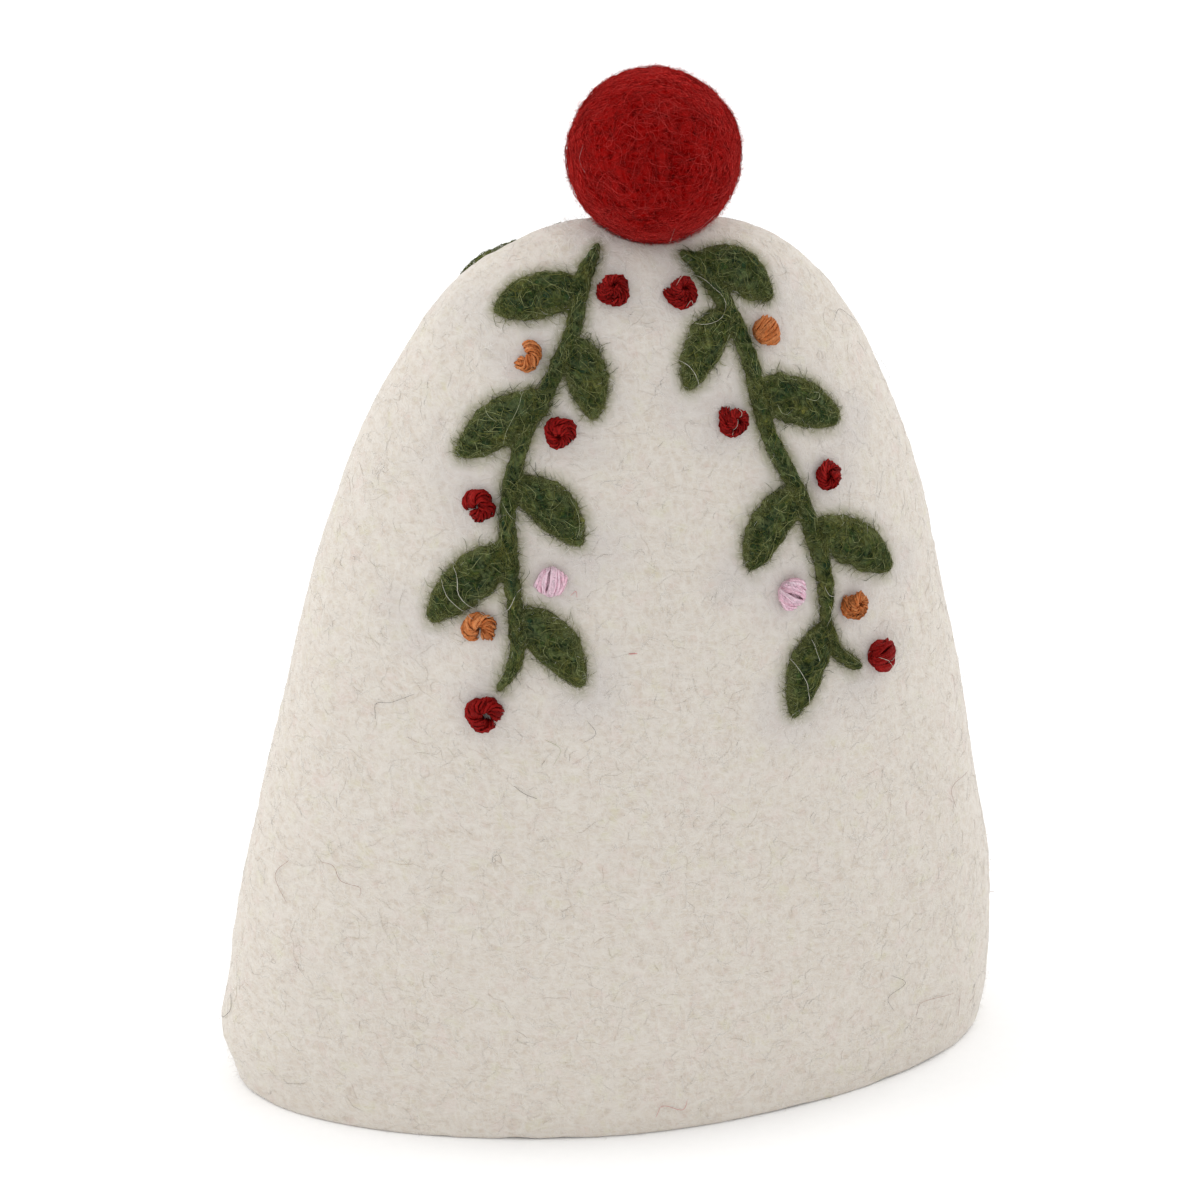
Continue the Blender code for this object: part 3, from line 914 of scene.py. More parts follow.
def felt_surface():
    """The outside of the felt bell as it was made."""
    points, triangles, normals = mesh_arrays(bpy.data.objects["felt_bell"].data)
    outside = (triangles < OUTSIDE_POINTS).all(axis=1)
    return Surface(points, triangles[outside], normals)


class COSY_OT_felt_bell(bpy.types.Operator):
    """Builds the hollow felt bell with its rounded hem"""
    bl_idname = "egg_cosy.felt_bell"
    bl_label = "Felt bell"

    def execute(self, context):
        settings = context.scene.egg_cosy.felt
        angles = 2 * np.pi * np.arange(AROUND) / AROUND
        rows = np.arange(1, OUTSIDE_ROWS + 1) / OUTSIDE_ROWS
        outside = bell_rings(bell(0), rows, angles)
        inside = bell_rings(bell(settings.wall), np.linspace(1, 0.02, INSIDE_ROWS), angles)
        hem = hem_rings(outside[-1], inside[0], settings.wall)
        outside = pressed_clear(outside[:-1], BALL_RADIUS + SEAT_GAP)
        inside = pressed_clear(inside[1:], BALL_RADIUS + SEAT_GAP + settings.wall)
        rings = np.concatenate([outside, hem, inside])
        ends = [pressed_clear(
            np.array([[RIDGE_LEAN, 0, BODY_HEIGHT - inset]]), BALL_RADIUS + SEAT_GAP + inset)
            for inset in (0, settings.wall)]
        points = np.concatenate([ends[0], rings.reshape(-1, 3), ends[1]])
        faces = ring_faces(len(rings), AROUND)
        piece = new_object("felt_bell", points, faces, cream_felt(settings), needled_share(points))
        self.rough_up(piece, settings)
        finish_piece(piece, "cream_felt", "cosy_body")
        return {"FINISHED"}

    def rough_up(self, piece, settings):
        """Raises the felt's swells and small lumps, bulges the hem's corner and lifts the hem in places."""
        points, _, normals = mesh_arrays(piece.data)
        swells = lumps(points, FELT_SWELL, 1)
        small = lumps(points, FELT_LUMP, 2, 3)
        corner = np.clip(-(points[:, 0] + FLARE_START) / FLARE_WIDTH, 0, 1)
        above = (points[:, 2] - FLARE_HEIGHT) / FLARE_REACH
        points[:, 0] -= settings.flare * corner**2 * np.exp(-(above**2))
        out = settings.lump * (2.0 * swells + small)
        low = np.exp(-points[:, 2] / HEM_REACH)
        out *= 1 - 0.6 * low
        points += normals * out[:, None]
        points[:, 2] += settings.hem_lift * low * np.clip(lumps(points, HEM_LUMP, 3), 0, 1)
        points[:, 2] = np.maximum(points[:, 2], 0)
        move_points(piece.data, points)


class COSY_OT_felt_nap(bpy.types.Operator):
    """Lays loose fibres over the felt and stands short ones out of it"""
    bl_idname = "egg_cosy.felt_nap"
    bl_label = "Felt nap"

    def execute(self, context):
        settings = context.scene.egg_cosy.felt
        rng = np.random.default_rng(11)
        surface = felt_surface()
        cream, shade, pale, straw, blush = chosen(settings, "cream", "shade", "pale", "straw", "blush")
        material = loose_fibre(
            "cream_fibre", (0.0, darker(shade, 0.5)), (0.003, shade), (0.06, cream), (0.5, pale),
            (0.94, blended(pale, (0.92, 0.91, 0.90), 0.6)), (0.97, straw), (1.0, blush))
        for side, face in (("front", FRONT), ("back", BACK)):
            weights = (surface.points[:, 1] * face > 0).astype(float)
            count = round(settings.lying_count * (1 if face == FRONT else BACK_SHARE))
            paths, radii = lying_fibres(
                rng, surface, count, LYING_LENGTH, settings.fibre_radius, loft=LYING_LOFT, weights=weights)
            tints = rng.random(len(radii))
            fibre_piece(f"felt_fibres_{side}", "cream_felt", paths, radii, tints, material)
        paths, radii = standing_fibres(
            rng, surface, settings.standing_count, settings.nap_length, settings.fibre_radius, steps=3,
            weights=1 + 3 * (1 - np.abs(surface.normals[:, 1])))
        tints = rng.uniform(0.2, 1, len(radii))
        fibre_piece("felt_nap", "cream_felt", paths, radii, tints, material)
        fluffy = needled_share(surface.points) * (surface.points[:, 2] > FLUFF_FLOOR)
        near_ball = np.linalg.norm(surface.points - BALL_CENTRE, axis=1) < BALL_RADIUS + COLLAR
        paths, radii = standing_fibres(
            rng, surface, settings.fluff_count, FLUFF_LENGTH, 0.8 * settings.fibre_radius, lean=1.2,
            weights=fluffy + 3 * near_ball)
        tints = rng.uniform(0.5, 0.94, len(radii))
        fibre_piece("felt_fluff", "cream_felt", paths, radii, tints, material)
        return {"FINISHED"}


# The ball.

BALL_SUBDIVISIONS = 6
BALL_LUMP = 1.3 * MM
WEB_LENGTH, WEB_LOFT, WEB_DRIFT = 3.4 * MM, 0.16 * MM, 2.6 * MM
WEB_STEPS = 8
WHITE_SHARE = 0.003  # the share of nearly white fibres on the ball
HALO_LENGTH = 0.65 * MM
HALO_THINNESS = 0.65  # a standing fibre's thickness, as a share of a lying one's


class COSY_OT_felt_ball(bpy.types.Operator):
    """Builds the felt ball with the fibres wound over it and standing out of it"""
    bl_idname = "egg_cosy.felt_ball"
    bl_label = "Felt ball"

    def execute(self, context):
        settings = context.scene.egg_cosy.ball
        rng = np.random.default_rng(23)
        points, faces = icosphere(BALL_SUBDIVISIONS, BALL_RADIUS)
        directions = unit(points)
        swells = lumps(directions, 0.8, 5) * 0.8
        small = lumps(directions * BALL_RADIUS, BALL_LUMP, 6, 3)
        radius = BALL_RADIUS - settings.lump + settings.lump * (swells + small)
        points = BALL_CENTRE + directions * radius[:, None]
        crimson, deep_and_shade, bright, rose = chosen(settings, "crimson", "deep_and_shade", "bright", "rose")
        material = dyed_felt("crimson_felt", crimson, deep_and_shade, bright, rose)
        ball = new_object("felt_ball_wool", points, faces, material)
        finish_piece(ball, "crimson_felt", "felt_ball")
        surface = Surface(*mesh_arrays(ball.data))
        material = loose_fibre(
            "crimson_fibre", (0.0, deep_and_shade), (0.2, crimson), (0.55, bright), (0.9, rose), (0.97, rose),
            (1.0, (0.60, 0.30, 0.29)), sheen=0.8, shine=0.0, sheen_tint=RED_GLOW)
        paths, radii = lying_fibres(
            rng, surface, settings.web_count, WEB_LENGTH, settings.fibre_radius, steps=WEB_STEPS, curl=1.1,
            loft=WEB_LOFT)
        drift = 0.38 * lumps(paths[:, WEB_STEPS // 2], WEB_DRIFT, 9)
        tints = np.clip(rng.uniform(0, 0.95, len(radii)) + drift, 0, 0.95)
        tints[rng.random(len(radii)) < WHITE_SHARE] = 1
        fibre_piece("ball_web", "crimson_felt", paths, radii, tints, material)
        paths, radii = standing_fibres(
            rng, surface, settings.halo_count, HALO_LENGTH, HALO_THINNESS * settings.fibre_radius, steps=3)
        # The standing fibres get the lighter reds, partly painted light for the glow along the ball's rim.
        tints = rng.uniform(0.35, 0.92, len(radii))
        fibre_piece("ball_halo", "crimson_felt", paths, radii, tints, material)
        return {"FINISHED"}


# The sprigs.

LEAF_STEPS, STEM_STEPS, TWIG_STEPS, STRIP_SIDES = 40, 120, 30, 20
STEM_WIDTH, STEM_RELIEF, TWIG_WIDTH = 1.5 * MM, 0.95 * MM, 1.1 * MM
LEAF_FULLNESS = 1.08
BACK_SHARE = 0.5  # the back's loose fibres, as a share of the front's
BACK_RELIEF = 1.3  # how plump the back's leaves are, as a share of the front's
SUNK = 0.35 * MM
# The needled wool's lumps: how far they stand out, then their size, their seed and their detail.
RAGGED = ((0.15 * MM, 1.0 * MM, 8, 3), (0.10 * MM, 0.42 * MM, 9, 2))
RIM_REACH = 0.8 * MM  # how far from the felt the leaves' paler rims reach
GREEN_AND_SHADE_REACH = 1.1 * MM  # how far the leaves' colour and painted shade spread into the felt
# The wool's loose fibres: their lengths, then their half thickness in millimetres and their tints by piece.
LEAF_FIBRE, STEM_FIBRE = 2.0 * MM, 2.6 * MM
FUZZ_FIBRE, RIM_FIBRE, NAP_FIBRE = 0.6 * MM, 0.45 * MM, 0.42 * MM
WOOL_FIBRES = (("fibres", 0.021, (0, 0.95)), ("fuzz", 0.012, (0.75, 0.97)), ("rim", 0.014, (0.55, 0.95)))
NAP_RADIUS = 0.014 * MM


def leaf_width(share):
    """A leaf's half width along it: narrow at the stem, fullest before the middle, blunt at the tip."""
    return np.sin(np.pi * share**0.85) ** 0.6


def stem_width(share):
    """A stem's half width along it, blunt at both ends."""
    return np.minimum(1, np.minimum(14 * share, 10 * (1 - share))) ** 0.5


def along_route(places, share):
    """A place at a share of the way along a smooth route through the places, and the way it heads."""
    share, spans = float(share), len(places) - 1
    i = min(int(share * spans), spans - 1)
    p1, p2 = Vector(places[i]), Vector(places[i + 1])
    p0 = Vector(places[i - 1]) if i else 2 * p1 - p2
    p3 = Vector(places[i + 2]) if i + 2 <= spans else 2 * p2 - p1
    t = share * spans - i
    bend = 2 * p0 - 5 * p1 + 4 * p2 - p3
    turn = 3 * (p1 - p2) + p3 - p0
    place = p1 + 0.5 * t * (p2 - p0 + t * (bend + t * turn))
    heading = 0.5 * (p2 - p0) + t * bend + 1.5 * t * t * turn
    return place, heading.normalized()


def route_arrays(places, shares):
    """Places and headings along a route as arrays, the places in metres."""
    found = [along_route(places, share) for share in shares]
    return np.array([tuple(p) for p, _ in found]) * MM, np.array([tuple(h) for _, h in found])


def leaf_route(leaf):
    """Three places along a leaf's middle, the second moved sideways by the leaf's bow."""
    base, tip = Vector(leaf.base), Vector(leaf.tip)
    side = (tip - base).orthogonal().normalized()
    return [tuple(base), tuple((base + tip) / 2 + side * leaf.bow), tuple(tip)]


Strip = namedtuple("Strip", "route steps width shape relief")


def strips_of(sprig, relief):
    """The stem, the twigs and the leaves of a sprig as strips of wool."""
    strips = [Strip(sprig.stem, STEM_STEPS, STEM_WIDTH, stem_width, STEM_RELIEF)]
    strips += [Strip(twig, TWIG_STEPS, TWIG_WIDTH, stem_width, STEM_RELIEF) for twig in sprig.twigs]
    for leaf in sprig.leaves:
        width = leaf.width * LEAF_FULLNESS * MM
        strips.append(Strip(leaf_route(leaf), LEAF_STEPS, width, leaf_width, relief))
    return strips


def strip_mesh(face, strip, seed):
    """A rounded strip of wool that stands out of the felt and sinks a little into it."""
    shares = np.linspace(0, 1, strip.steps + 2)[1:-1]
    places, headings = route_arrays(strip.route, shares)
    turns = 2 * np.pi * np.arange(STRIP_SIDES) / STRIP_SIDES
    half = strip.width / 2 * strip.shape(shares)
    wavy = 1 + 0.15 * np.array([
        [noise.noise(Vector((share * 9, hand * 3.7, seed))) for hand in (-1, 1)] for share in shares])
    side = np.where(np.cos(turns) < 0, 0, 1)
    shift = half[:, None] * np.cos(turns)[None] * wavy[:, side]
    across = places[:, :1] - headings[:, 1:] * shift
    down = places[:, 1:] + headings[:, :1] * shift
    crown = strip.shape(shares) ** 0.6
    lens = np.abs(np.sin(turns))[None]
    out = np.where(np.sin(turns) > 0, lens**1.25 * strip.relief * crown[:, None], -SUNK * lens)
    rings = felt_points(face, across, down) + felt_normals(face, across, down) * out[..., None]
    ends, _ = route_arrays(strip.route, (0, 1))
    tips = felt_points(face, ends[:, 0], ends[:, 1])
    points = np.concatenate([tips[:1], rings.reshape(-1, 3), tips[1:]])
    return points, ring_faces(strip.steps, STRIP_SIDES)


def fused(name, parts, voxel, material):
    """The closed meshes fused into one skin of even faces."""
    rough = new_object(name + "_rough", *merged(parts), material)
    remesh = rough.modifiers.new("fuse", "REMESH")
    remesh.mode = "VOXEL"
    remesh.voxel_size = voxel
    smooth = rough.modifiers.new("soften", "SMOOTH")
    smooth.iterations = 2
    evaluated = rough.evaluated_get(bpy.context.evaluated_depsgraph_get())
    mesh = bpy.data.meshes.new_from_object(evaluated)
    mesh.name = name
    bpy.data.objects.remove(rough)
    mesh.shade_smooth()
    return in_scene(bpy.data.objects.new(name, mesh))


DRAPE_FROM = 4 * MM  # how far off the felt the search for what lies on it starts


def drape(tree, face, across, down, lift):
    """Points over whatever lies at these places of a face, lifted off it."""
    base = felt_points(face, across, down)
    normals = felt_normals(face, across, down)
    points = np.empty_like(base)
    for i in np.ndindex(across.shape):
        normal = Vector(normals[i])
        place, _, _, _ = tree.ray_cast(Vector(base[i]) + normal * DRAPE_FROM, -normal, 2 * DRAPE_FROM)
        points[i] = (place if place is not None else Vector(base[i])) + normal * lift[i]
    return points


def strip_fibres(rng, tree, face, strip, count, length, spread, curl, steps=6):
    """Fibres that lie along a strip of wool and fray a little over its edges."""
    shares = rng.uniform(0.02, 0.98, count)
    places, headings = route_arrays(strip.route, shares)
    offset = rng.uniform(-1.06, 1.06, count) * strip.width / 2 * strip.shape(shares)
    turned = rng.normal(0, spread, count)
    cos, sin = np.cos(turned), np.sin(turned)
    along = np.stack([headings[:, 0] * cos - headings[:, 1] * sin,
                      headings[:, 0] * sin + headings[:, 1] * cos], axis=1)
    starts = places + square_to(headings) * offset[:, None]
    lengths = length * rng.uniform(0.5, 1.5, count)
    flat = curled_paths(rng, starts, along, square_to(along), lengths, steps, curl)
    arch = np.sin(np.pi * np.linspace(0, 1, steps))[None]
    lift = (arch * rng.uniform(0.2, 1.8, (count, 1)) - 0.15) * 0.14 * MM
    return drape(tree, face, flat[..., 0], flat[..., 1], lift)


def edge_fibres(rng, tree, face, strip, count, length, steps=4):
    """Short curled fibres that fray out over the edges of a strip of wool and lie on the felt."""
    shares = rng.uniform(0.02, 1, count) ** 0.8
    places, headings = route_arrays(strip.route, shares)
    hand = rng.choice((-1, 1), count)
    out = square_to(headings) * hand[:, None]
    reach = (strip.width / 2 * strip.shape(shares) * rng.uniform(0.7, 1.02, count))[:, None]
    turned = rng.normal(0, 0.9, (count, 1)) - 0.5 * hand[:, None]
    along = out * np.cos(turned) + square_to(out) * np.sin(turned)
    lengths = length * rng.uniform(0.4, 1.6, count)
    flat = curled_paths(rng, places + out * reach, along, square_to(along), lengths, steps, 1.2)
    lift = rng.uniform(0.02, 0.22, (count, 1)) * MM * np.linspace(1, 0.4, steps)
    return drape(tree, face, flat[..., 0], flat[..., 1], lift)


class COSY_OT_sprigs(bpy.types.Operator):
    """Builds the sprigs of needled green wool, with their fibres"""
    bl_idname = "egg_cosy.sprigs"
    bl_label = "Sprigs"

    def execute(self, context):
        settings = context.scene.egg_cosy.sprigs
        leaf, deep_and_shade, olive, light = chosen(settings, "leaf", "deep_and_shade", "olive", "light")
        wool = green_wool(settings)
        fibre = loose_fibre(
            "green_fibre", (0.0, deep_and_shade), (0.2, leaf), (0.45, blended(leaf, olive, 0.5)), (0.7, olive),
            (0.9, light), (0.97, light), (1.0, (0.50, 0.55, 0.45)))
        bell_mesh = bpy.data.objects["felt_bell"].data
        felt, felt_triangles, _ = mesh_arrays(bell_mesh)
        felt_tree = search_tree(felt, felt_triangles)
        greened = np.zeros(len(felt))
        for number, ((side, hand), (face, sprig)) in enumerate(SPRIGS.items()):
            rng = np.random.default_rng(40 + number)
            strips = strips_of(sprig, settings.relief * (1 if face == FRONT else BACK_RELIEF))
            parts = [strip_mesh(face, strip, 10 * number + i) for i, strip in enumerate(strips)]
            name = f"sprig_{side}_{hand}"
            piece = fused(f"{name}_wool", parts, settings.voxel, wool)
            points, triangles, normals = mesh_arrays(piece.data)
            ragged = sum(height * lumps(points, *form) for height, *form in RAGGED)
            points += normals * ragged[:, None]
            move_points(piece.data, points)
            gaps = [felt_tree.find_nearest(point)[3] for point in points]
            mark_points(piece.data, "tint", [1 - min(gap / RIM_REACH, 1) for gap in gaps])
            finish_piece(piece, "green_wool", name)
            tree = search_tree(*merged([(felt, felt_triangles), (points, triangles)]))
            self.add_fibres(rng, tree, face, name, strips, settings, fibre)
            paths, radii = standing_fibres(
                rng, Surface(points, triangles, normals), settings.fuzz_count, NAP_FIBRE, NAP_RADIUS, steps=3)
            tints = rng.uniform(0.6, 1, len(radii))
            fibre_piece(f"{name}_nap", "green_wool", paths, radii, tints, fibre)
            # The felt near the wool is marked for its olive-grey: green fibres and painted shade.
            wool_tree = search_tree(points, triangles)
            near = [wool_tree.find_nearest(point, GREEN_AND_SHADE_REACH)[3] for point in felt]
            near = np.array([GREEN_AND_SHADE_REACH if gap is None else gap for gap in near])
            greened = np.maximum(greened, 1 - near / GREEN_AND_SHADE_REACH)
        mark_points(bell_mesh, "greened", greened)
        return {"FINISHED"}

    def add_fibres(self, rng, tree, face, name, strips, settings, fibre):
        """Lays fibres along a sprig's stem and leaves, and frays its edges."""
        groups = {"fibres": [], "fuzz": [], "rim": []}
        share = 1 if face == FRONT else BACK_SHARE
        for strip in strips:
            if strip.shape is leaf_width:
                count, length, spread, curl = settings.leaf_fibres, LEAF_FIBRE, 0.8, 0.9
            else:
                count = settings.stem_fibres * strip.steps / STEM_STEPS
                length, spread, curl = STEM_FIBRE, 0.25, 0.4
            groups["fibres"].append(strip_fibres(
                rng, tree, face, strip, round(share * count), length, spread, curl))
            groups["fuzz"].append(edge_fibres(
                rng, tree, face, strip, round(share * settings.edge_fibres), FUZZ_FIBRE))
            groups["rim"].append(edge_fibres(
                rng, tree, face, strip, round(share * settings.rim_fibres), RIM_FIBRE, steps=3))
        for part, radius, tints in WOOL_FIBRES:
            paths = np.concatenate(groups[part])
            radii = radius * MM * rng.uniform(0.6, 1.3, len(paths))
            tints = rng.uniform(*tints, len(paths))
            fibre_piece(f"{name}_{part}", "green_wool", paths, radii, tints, fibre)


# The berries.

KNOT_PLIES, PLY_STRANDS, KNOT_WRAPS, KNOT_STEPS, STRAND_SIDES = 3, 4, 17, 30, 3
# The turns of yarn from which a knot is coiled up instead of a ring, and wrapped over instead of coiled up.
COILED_TURNS, WRAPPED_TURNS = 1.2, 1.8


def strand_tube(path, radius, sides):
    """The points and triangles of a round tube along one path, with pointed ends."""
    heading = unit(np.gradient(path, axis=0))
    side = unit(np.cross(heading, np.array([0.31, 0.22, 0.92])))
    other = np.cross(heading, side)
    turns = 2 * np.pi * np.arange(sides) / sides
    reach = radius[1:-1, None, None]
    rings = path[1:-1, None] + reach * (
        side[1:-1, None] * np.cos(turns)[:, None] + other[1:-1, None] * np.sin(turns)[:, None])
    points = np.concatenate([path[:1], rings.reshape(-1, 3), path[-1:]])
    return points, ring_faces(len(path) - 2, sides)[:, ::-1]


def knot_core(rng, size, start, turns):
    """The middle line of a knot's yarn, and the yarn's half thickness along it.

    A short turn lies as an open ring with both ends drawn into the felt. A longer one coils up.
    """
    t = np.linspace(0, 1, KNOT_STEPS)
    angle = math.radians(start) + 2 * np.pi * turns * t
    uneven = 1 + 0.07 * np.sin(3 * angle + rng.uniform(0, 6))
    uneven += 0.04 * np.sin(5 * angle + rng.uniform(0, 6))
    if turns < COILED_TURNS:
        reach = size * 0.54 * uneven
        height = size * np.interp(t, [0, 0.12, 0.5, 0.88, 1], [-0.1, 0.32, 0.46, 0.32, -0.1])
        thickness = size * 0.45 * np.interp(t, [0, 0.1, 0.5, 0.9, 1], [0.75, 0.95, 1.05, 0.95, 0.75])
    else:
        reach = size * np.interp(t, [0, 0.55, 1], [0.66, 0.54, 0.06]) * uneven
        height = size * np.interp(t, [0, 0.08, 0.45, 0.8, 1], [-0.1, 0.28, 0.42, 0.74, 0.70])
        thickness = size * 0.34 * np.interp(t, [0, 0.1, 0.85, 1], [0.8, 1, 1, 0.8])
    core = np.stack([reach * np.cos(angle), reach * np.sin(angle), height], axis=1)
    return core, thickness


def knot_parts(rng, size, start, turns):
    """The strands of a knot of yarn over a filling, with a tint for each point.

    With few turns the strands follow a ring or a coil. With more they are wrapped side by side over a dome.
    """
    parts, tints = [], []
    if turns >= WRAPPED_TURNS:
        t = np.linspace(-1, 1, KNOT_STEPS)
        turn = math.radians(start)
        along = np.array([math.cos(turn), math.sin(turn)])
        aside = np.array([-along[1], along[0]])
        for place in np.linspace(-0.86, 0.86, KNOT_WRAPS):
            place += rng.normal(0, 0.03)
            run = t * math.sqrt(max(1 - place**2, 0.1)) * 0.92
            sway = place + 0.10 * rng.normal() * (1 - t**2) + 0.10 * rng.normal() * t
            sway = np.clip(sway, -1, 1) * np.sqrt(np.maximum(1 - 0.85 * run**2, 0.1))
            height = 0.86 * np.sqrt(np.maximum(1 - run**2 - 0.7 * sway**2, 0)) * rng.uniform(0.95, 1.07)
            flat = run[:, None] * along + sway[:, None] * aside
            path = size * np.column_stack([flat, height - 0.2 * np.abs(t) ** 6])
            thickness = np.full(KNOT_STEPS, size * rng.uniform(0.15, 0.19))
            points, faces = strand_tube(path, thickness, STRAND_SIDES)
            parts.append((points, faces))
            tints.append(np.full(len(points), rng.uniform(0.35, 0.95)))
        flatness = 0.76
    else:
        core, thickness = knot_core(rng, size, start, turns)
        heading = unit(np.gradient(core, axis=0))
        out = unit(np.cross(heading, np.array([0, 0, 1.0])))
        up = np.cross(out, heading)
        twist = 2 * np.pi * (rng.uniform(1.3, 1.8) * turns * np.linspace(0, 1, KNOT_STEPS) + rng.random())

        def aside(turn, reach):
            return (out * np.cos(turn)[:, None] + up * np.sin(turn)[:, None]) * thickness[:, None] * reach

        for ply in range(KNOT_PLIES):
            middle = core + aside(twist + 2 * np.pi * ply / KNOT_PLIES, 0.46)
            for strand in range(PLY_STRANDS):
                path = middle + aside(2.3 * twist + 2 * np.pi * strand / PLY_STRANDS, 0.40)
                points, faces = strand_tube(path, thickness * rng.uniform(0.19, 0.27), STRAND_SIDES)
                parts.append((points, faces))
                tints.append(np.full(len(points), rng.uniform(0.35, 0.95)))
        # The core takes the lowest tint, the colour for the grooves: painted shade where it shows between the
        # plies.
        points, faces = strand_tube(core, thickness * 0.72, 2 * STRAND_SIDES)
        parts.append((points, faces))
        tints.append(np.full(len(points), 0.2))
        flatness = 0.5
    if turns >= COILED_TURNS:
        dome, faces = icosphere(2, size * 0.94)
        dome[:, 2] = np.maximum(dome[:, 2] * flatness, -0.1 * size)
        dome[:, :2] *= 0.94 if turns >= WRAPPED_TURNS else 0.6
        parts.append((dome, faces))
        # Under coils the filling is painted darker, painted shade between the coils; under wraps it keeps
        # nearly the yarn's own colour.
        tints.append(np.full(len(dome), 0.65 if turns >= WRAPPED_TURNS else 0.35))
    return parts, tints


class COSY_OT_berries(bpy.types.Operator):
    """Winds the berries as knots of plied yarn"""
    bl_idname = "egg_cosy.berries"
    bl_label = "Berries"

    def execute(self, context):
        settings = context.scene.egg_cosy.yarns
        red, orange, pink = chosen(settings, "red", "orange", "pink")
        # Each yarn's second colour is painted shade for its grooves; its third goes on lighter strands,
        # partly painted highlights.
        materials = {
            "red": yarn("red_yarn", red, darker(red, 0.4), (0.42, 0.022, 0.018)),
            "orange": yarn("orange_yarn", orange, darker(orange, 0.45), (0.78, 0.36, 0.15)),
            "pink": yarn("pink_yarn", pink, (0.80, 0.42, 0.50), (0.95, 0.86, 0.90)),
        }
        rng = np.random.default_rng(77)
        for (side, hand), (face, sprig) in SPRIGS.items():
            for number, berry in enumerate(sprig.berries, 1):
                size = settings.size * berry.width / 2 * MM
                node = f"berry_{side}_{hand}_{number}"
                parts, tints = knot_parts(rng, size, berry.start, berry.turns)
                points, faces = merged(parts)
                across, down = (np.array(place * MM) for place in berry.place)
                normal = Vector(felt_normals(face, across, down))
                turn = np.array(normal.to_track_quat("Z", "Y").to_matrix())
                points = felt_points(face, across, down) + points @ turn.T
                piece = new_object(
                    f"{node}_yarn", points, faces, materials[berry.yarn], np.concatenate(tints))
                finish_piece(piece, f"{berry.yarn}_yarn", node)
        return {"FINISHED"}


# The stray fibres.

# A stray fibre or thread of the front: places that it runs through, its colour and its thickness.
Stray = namedtuple("Stray", "places colour thickness")

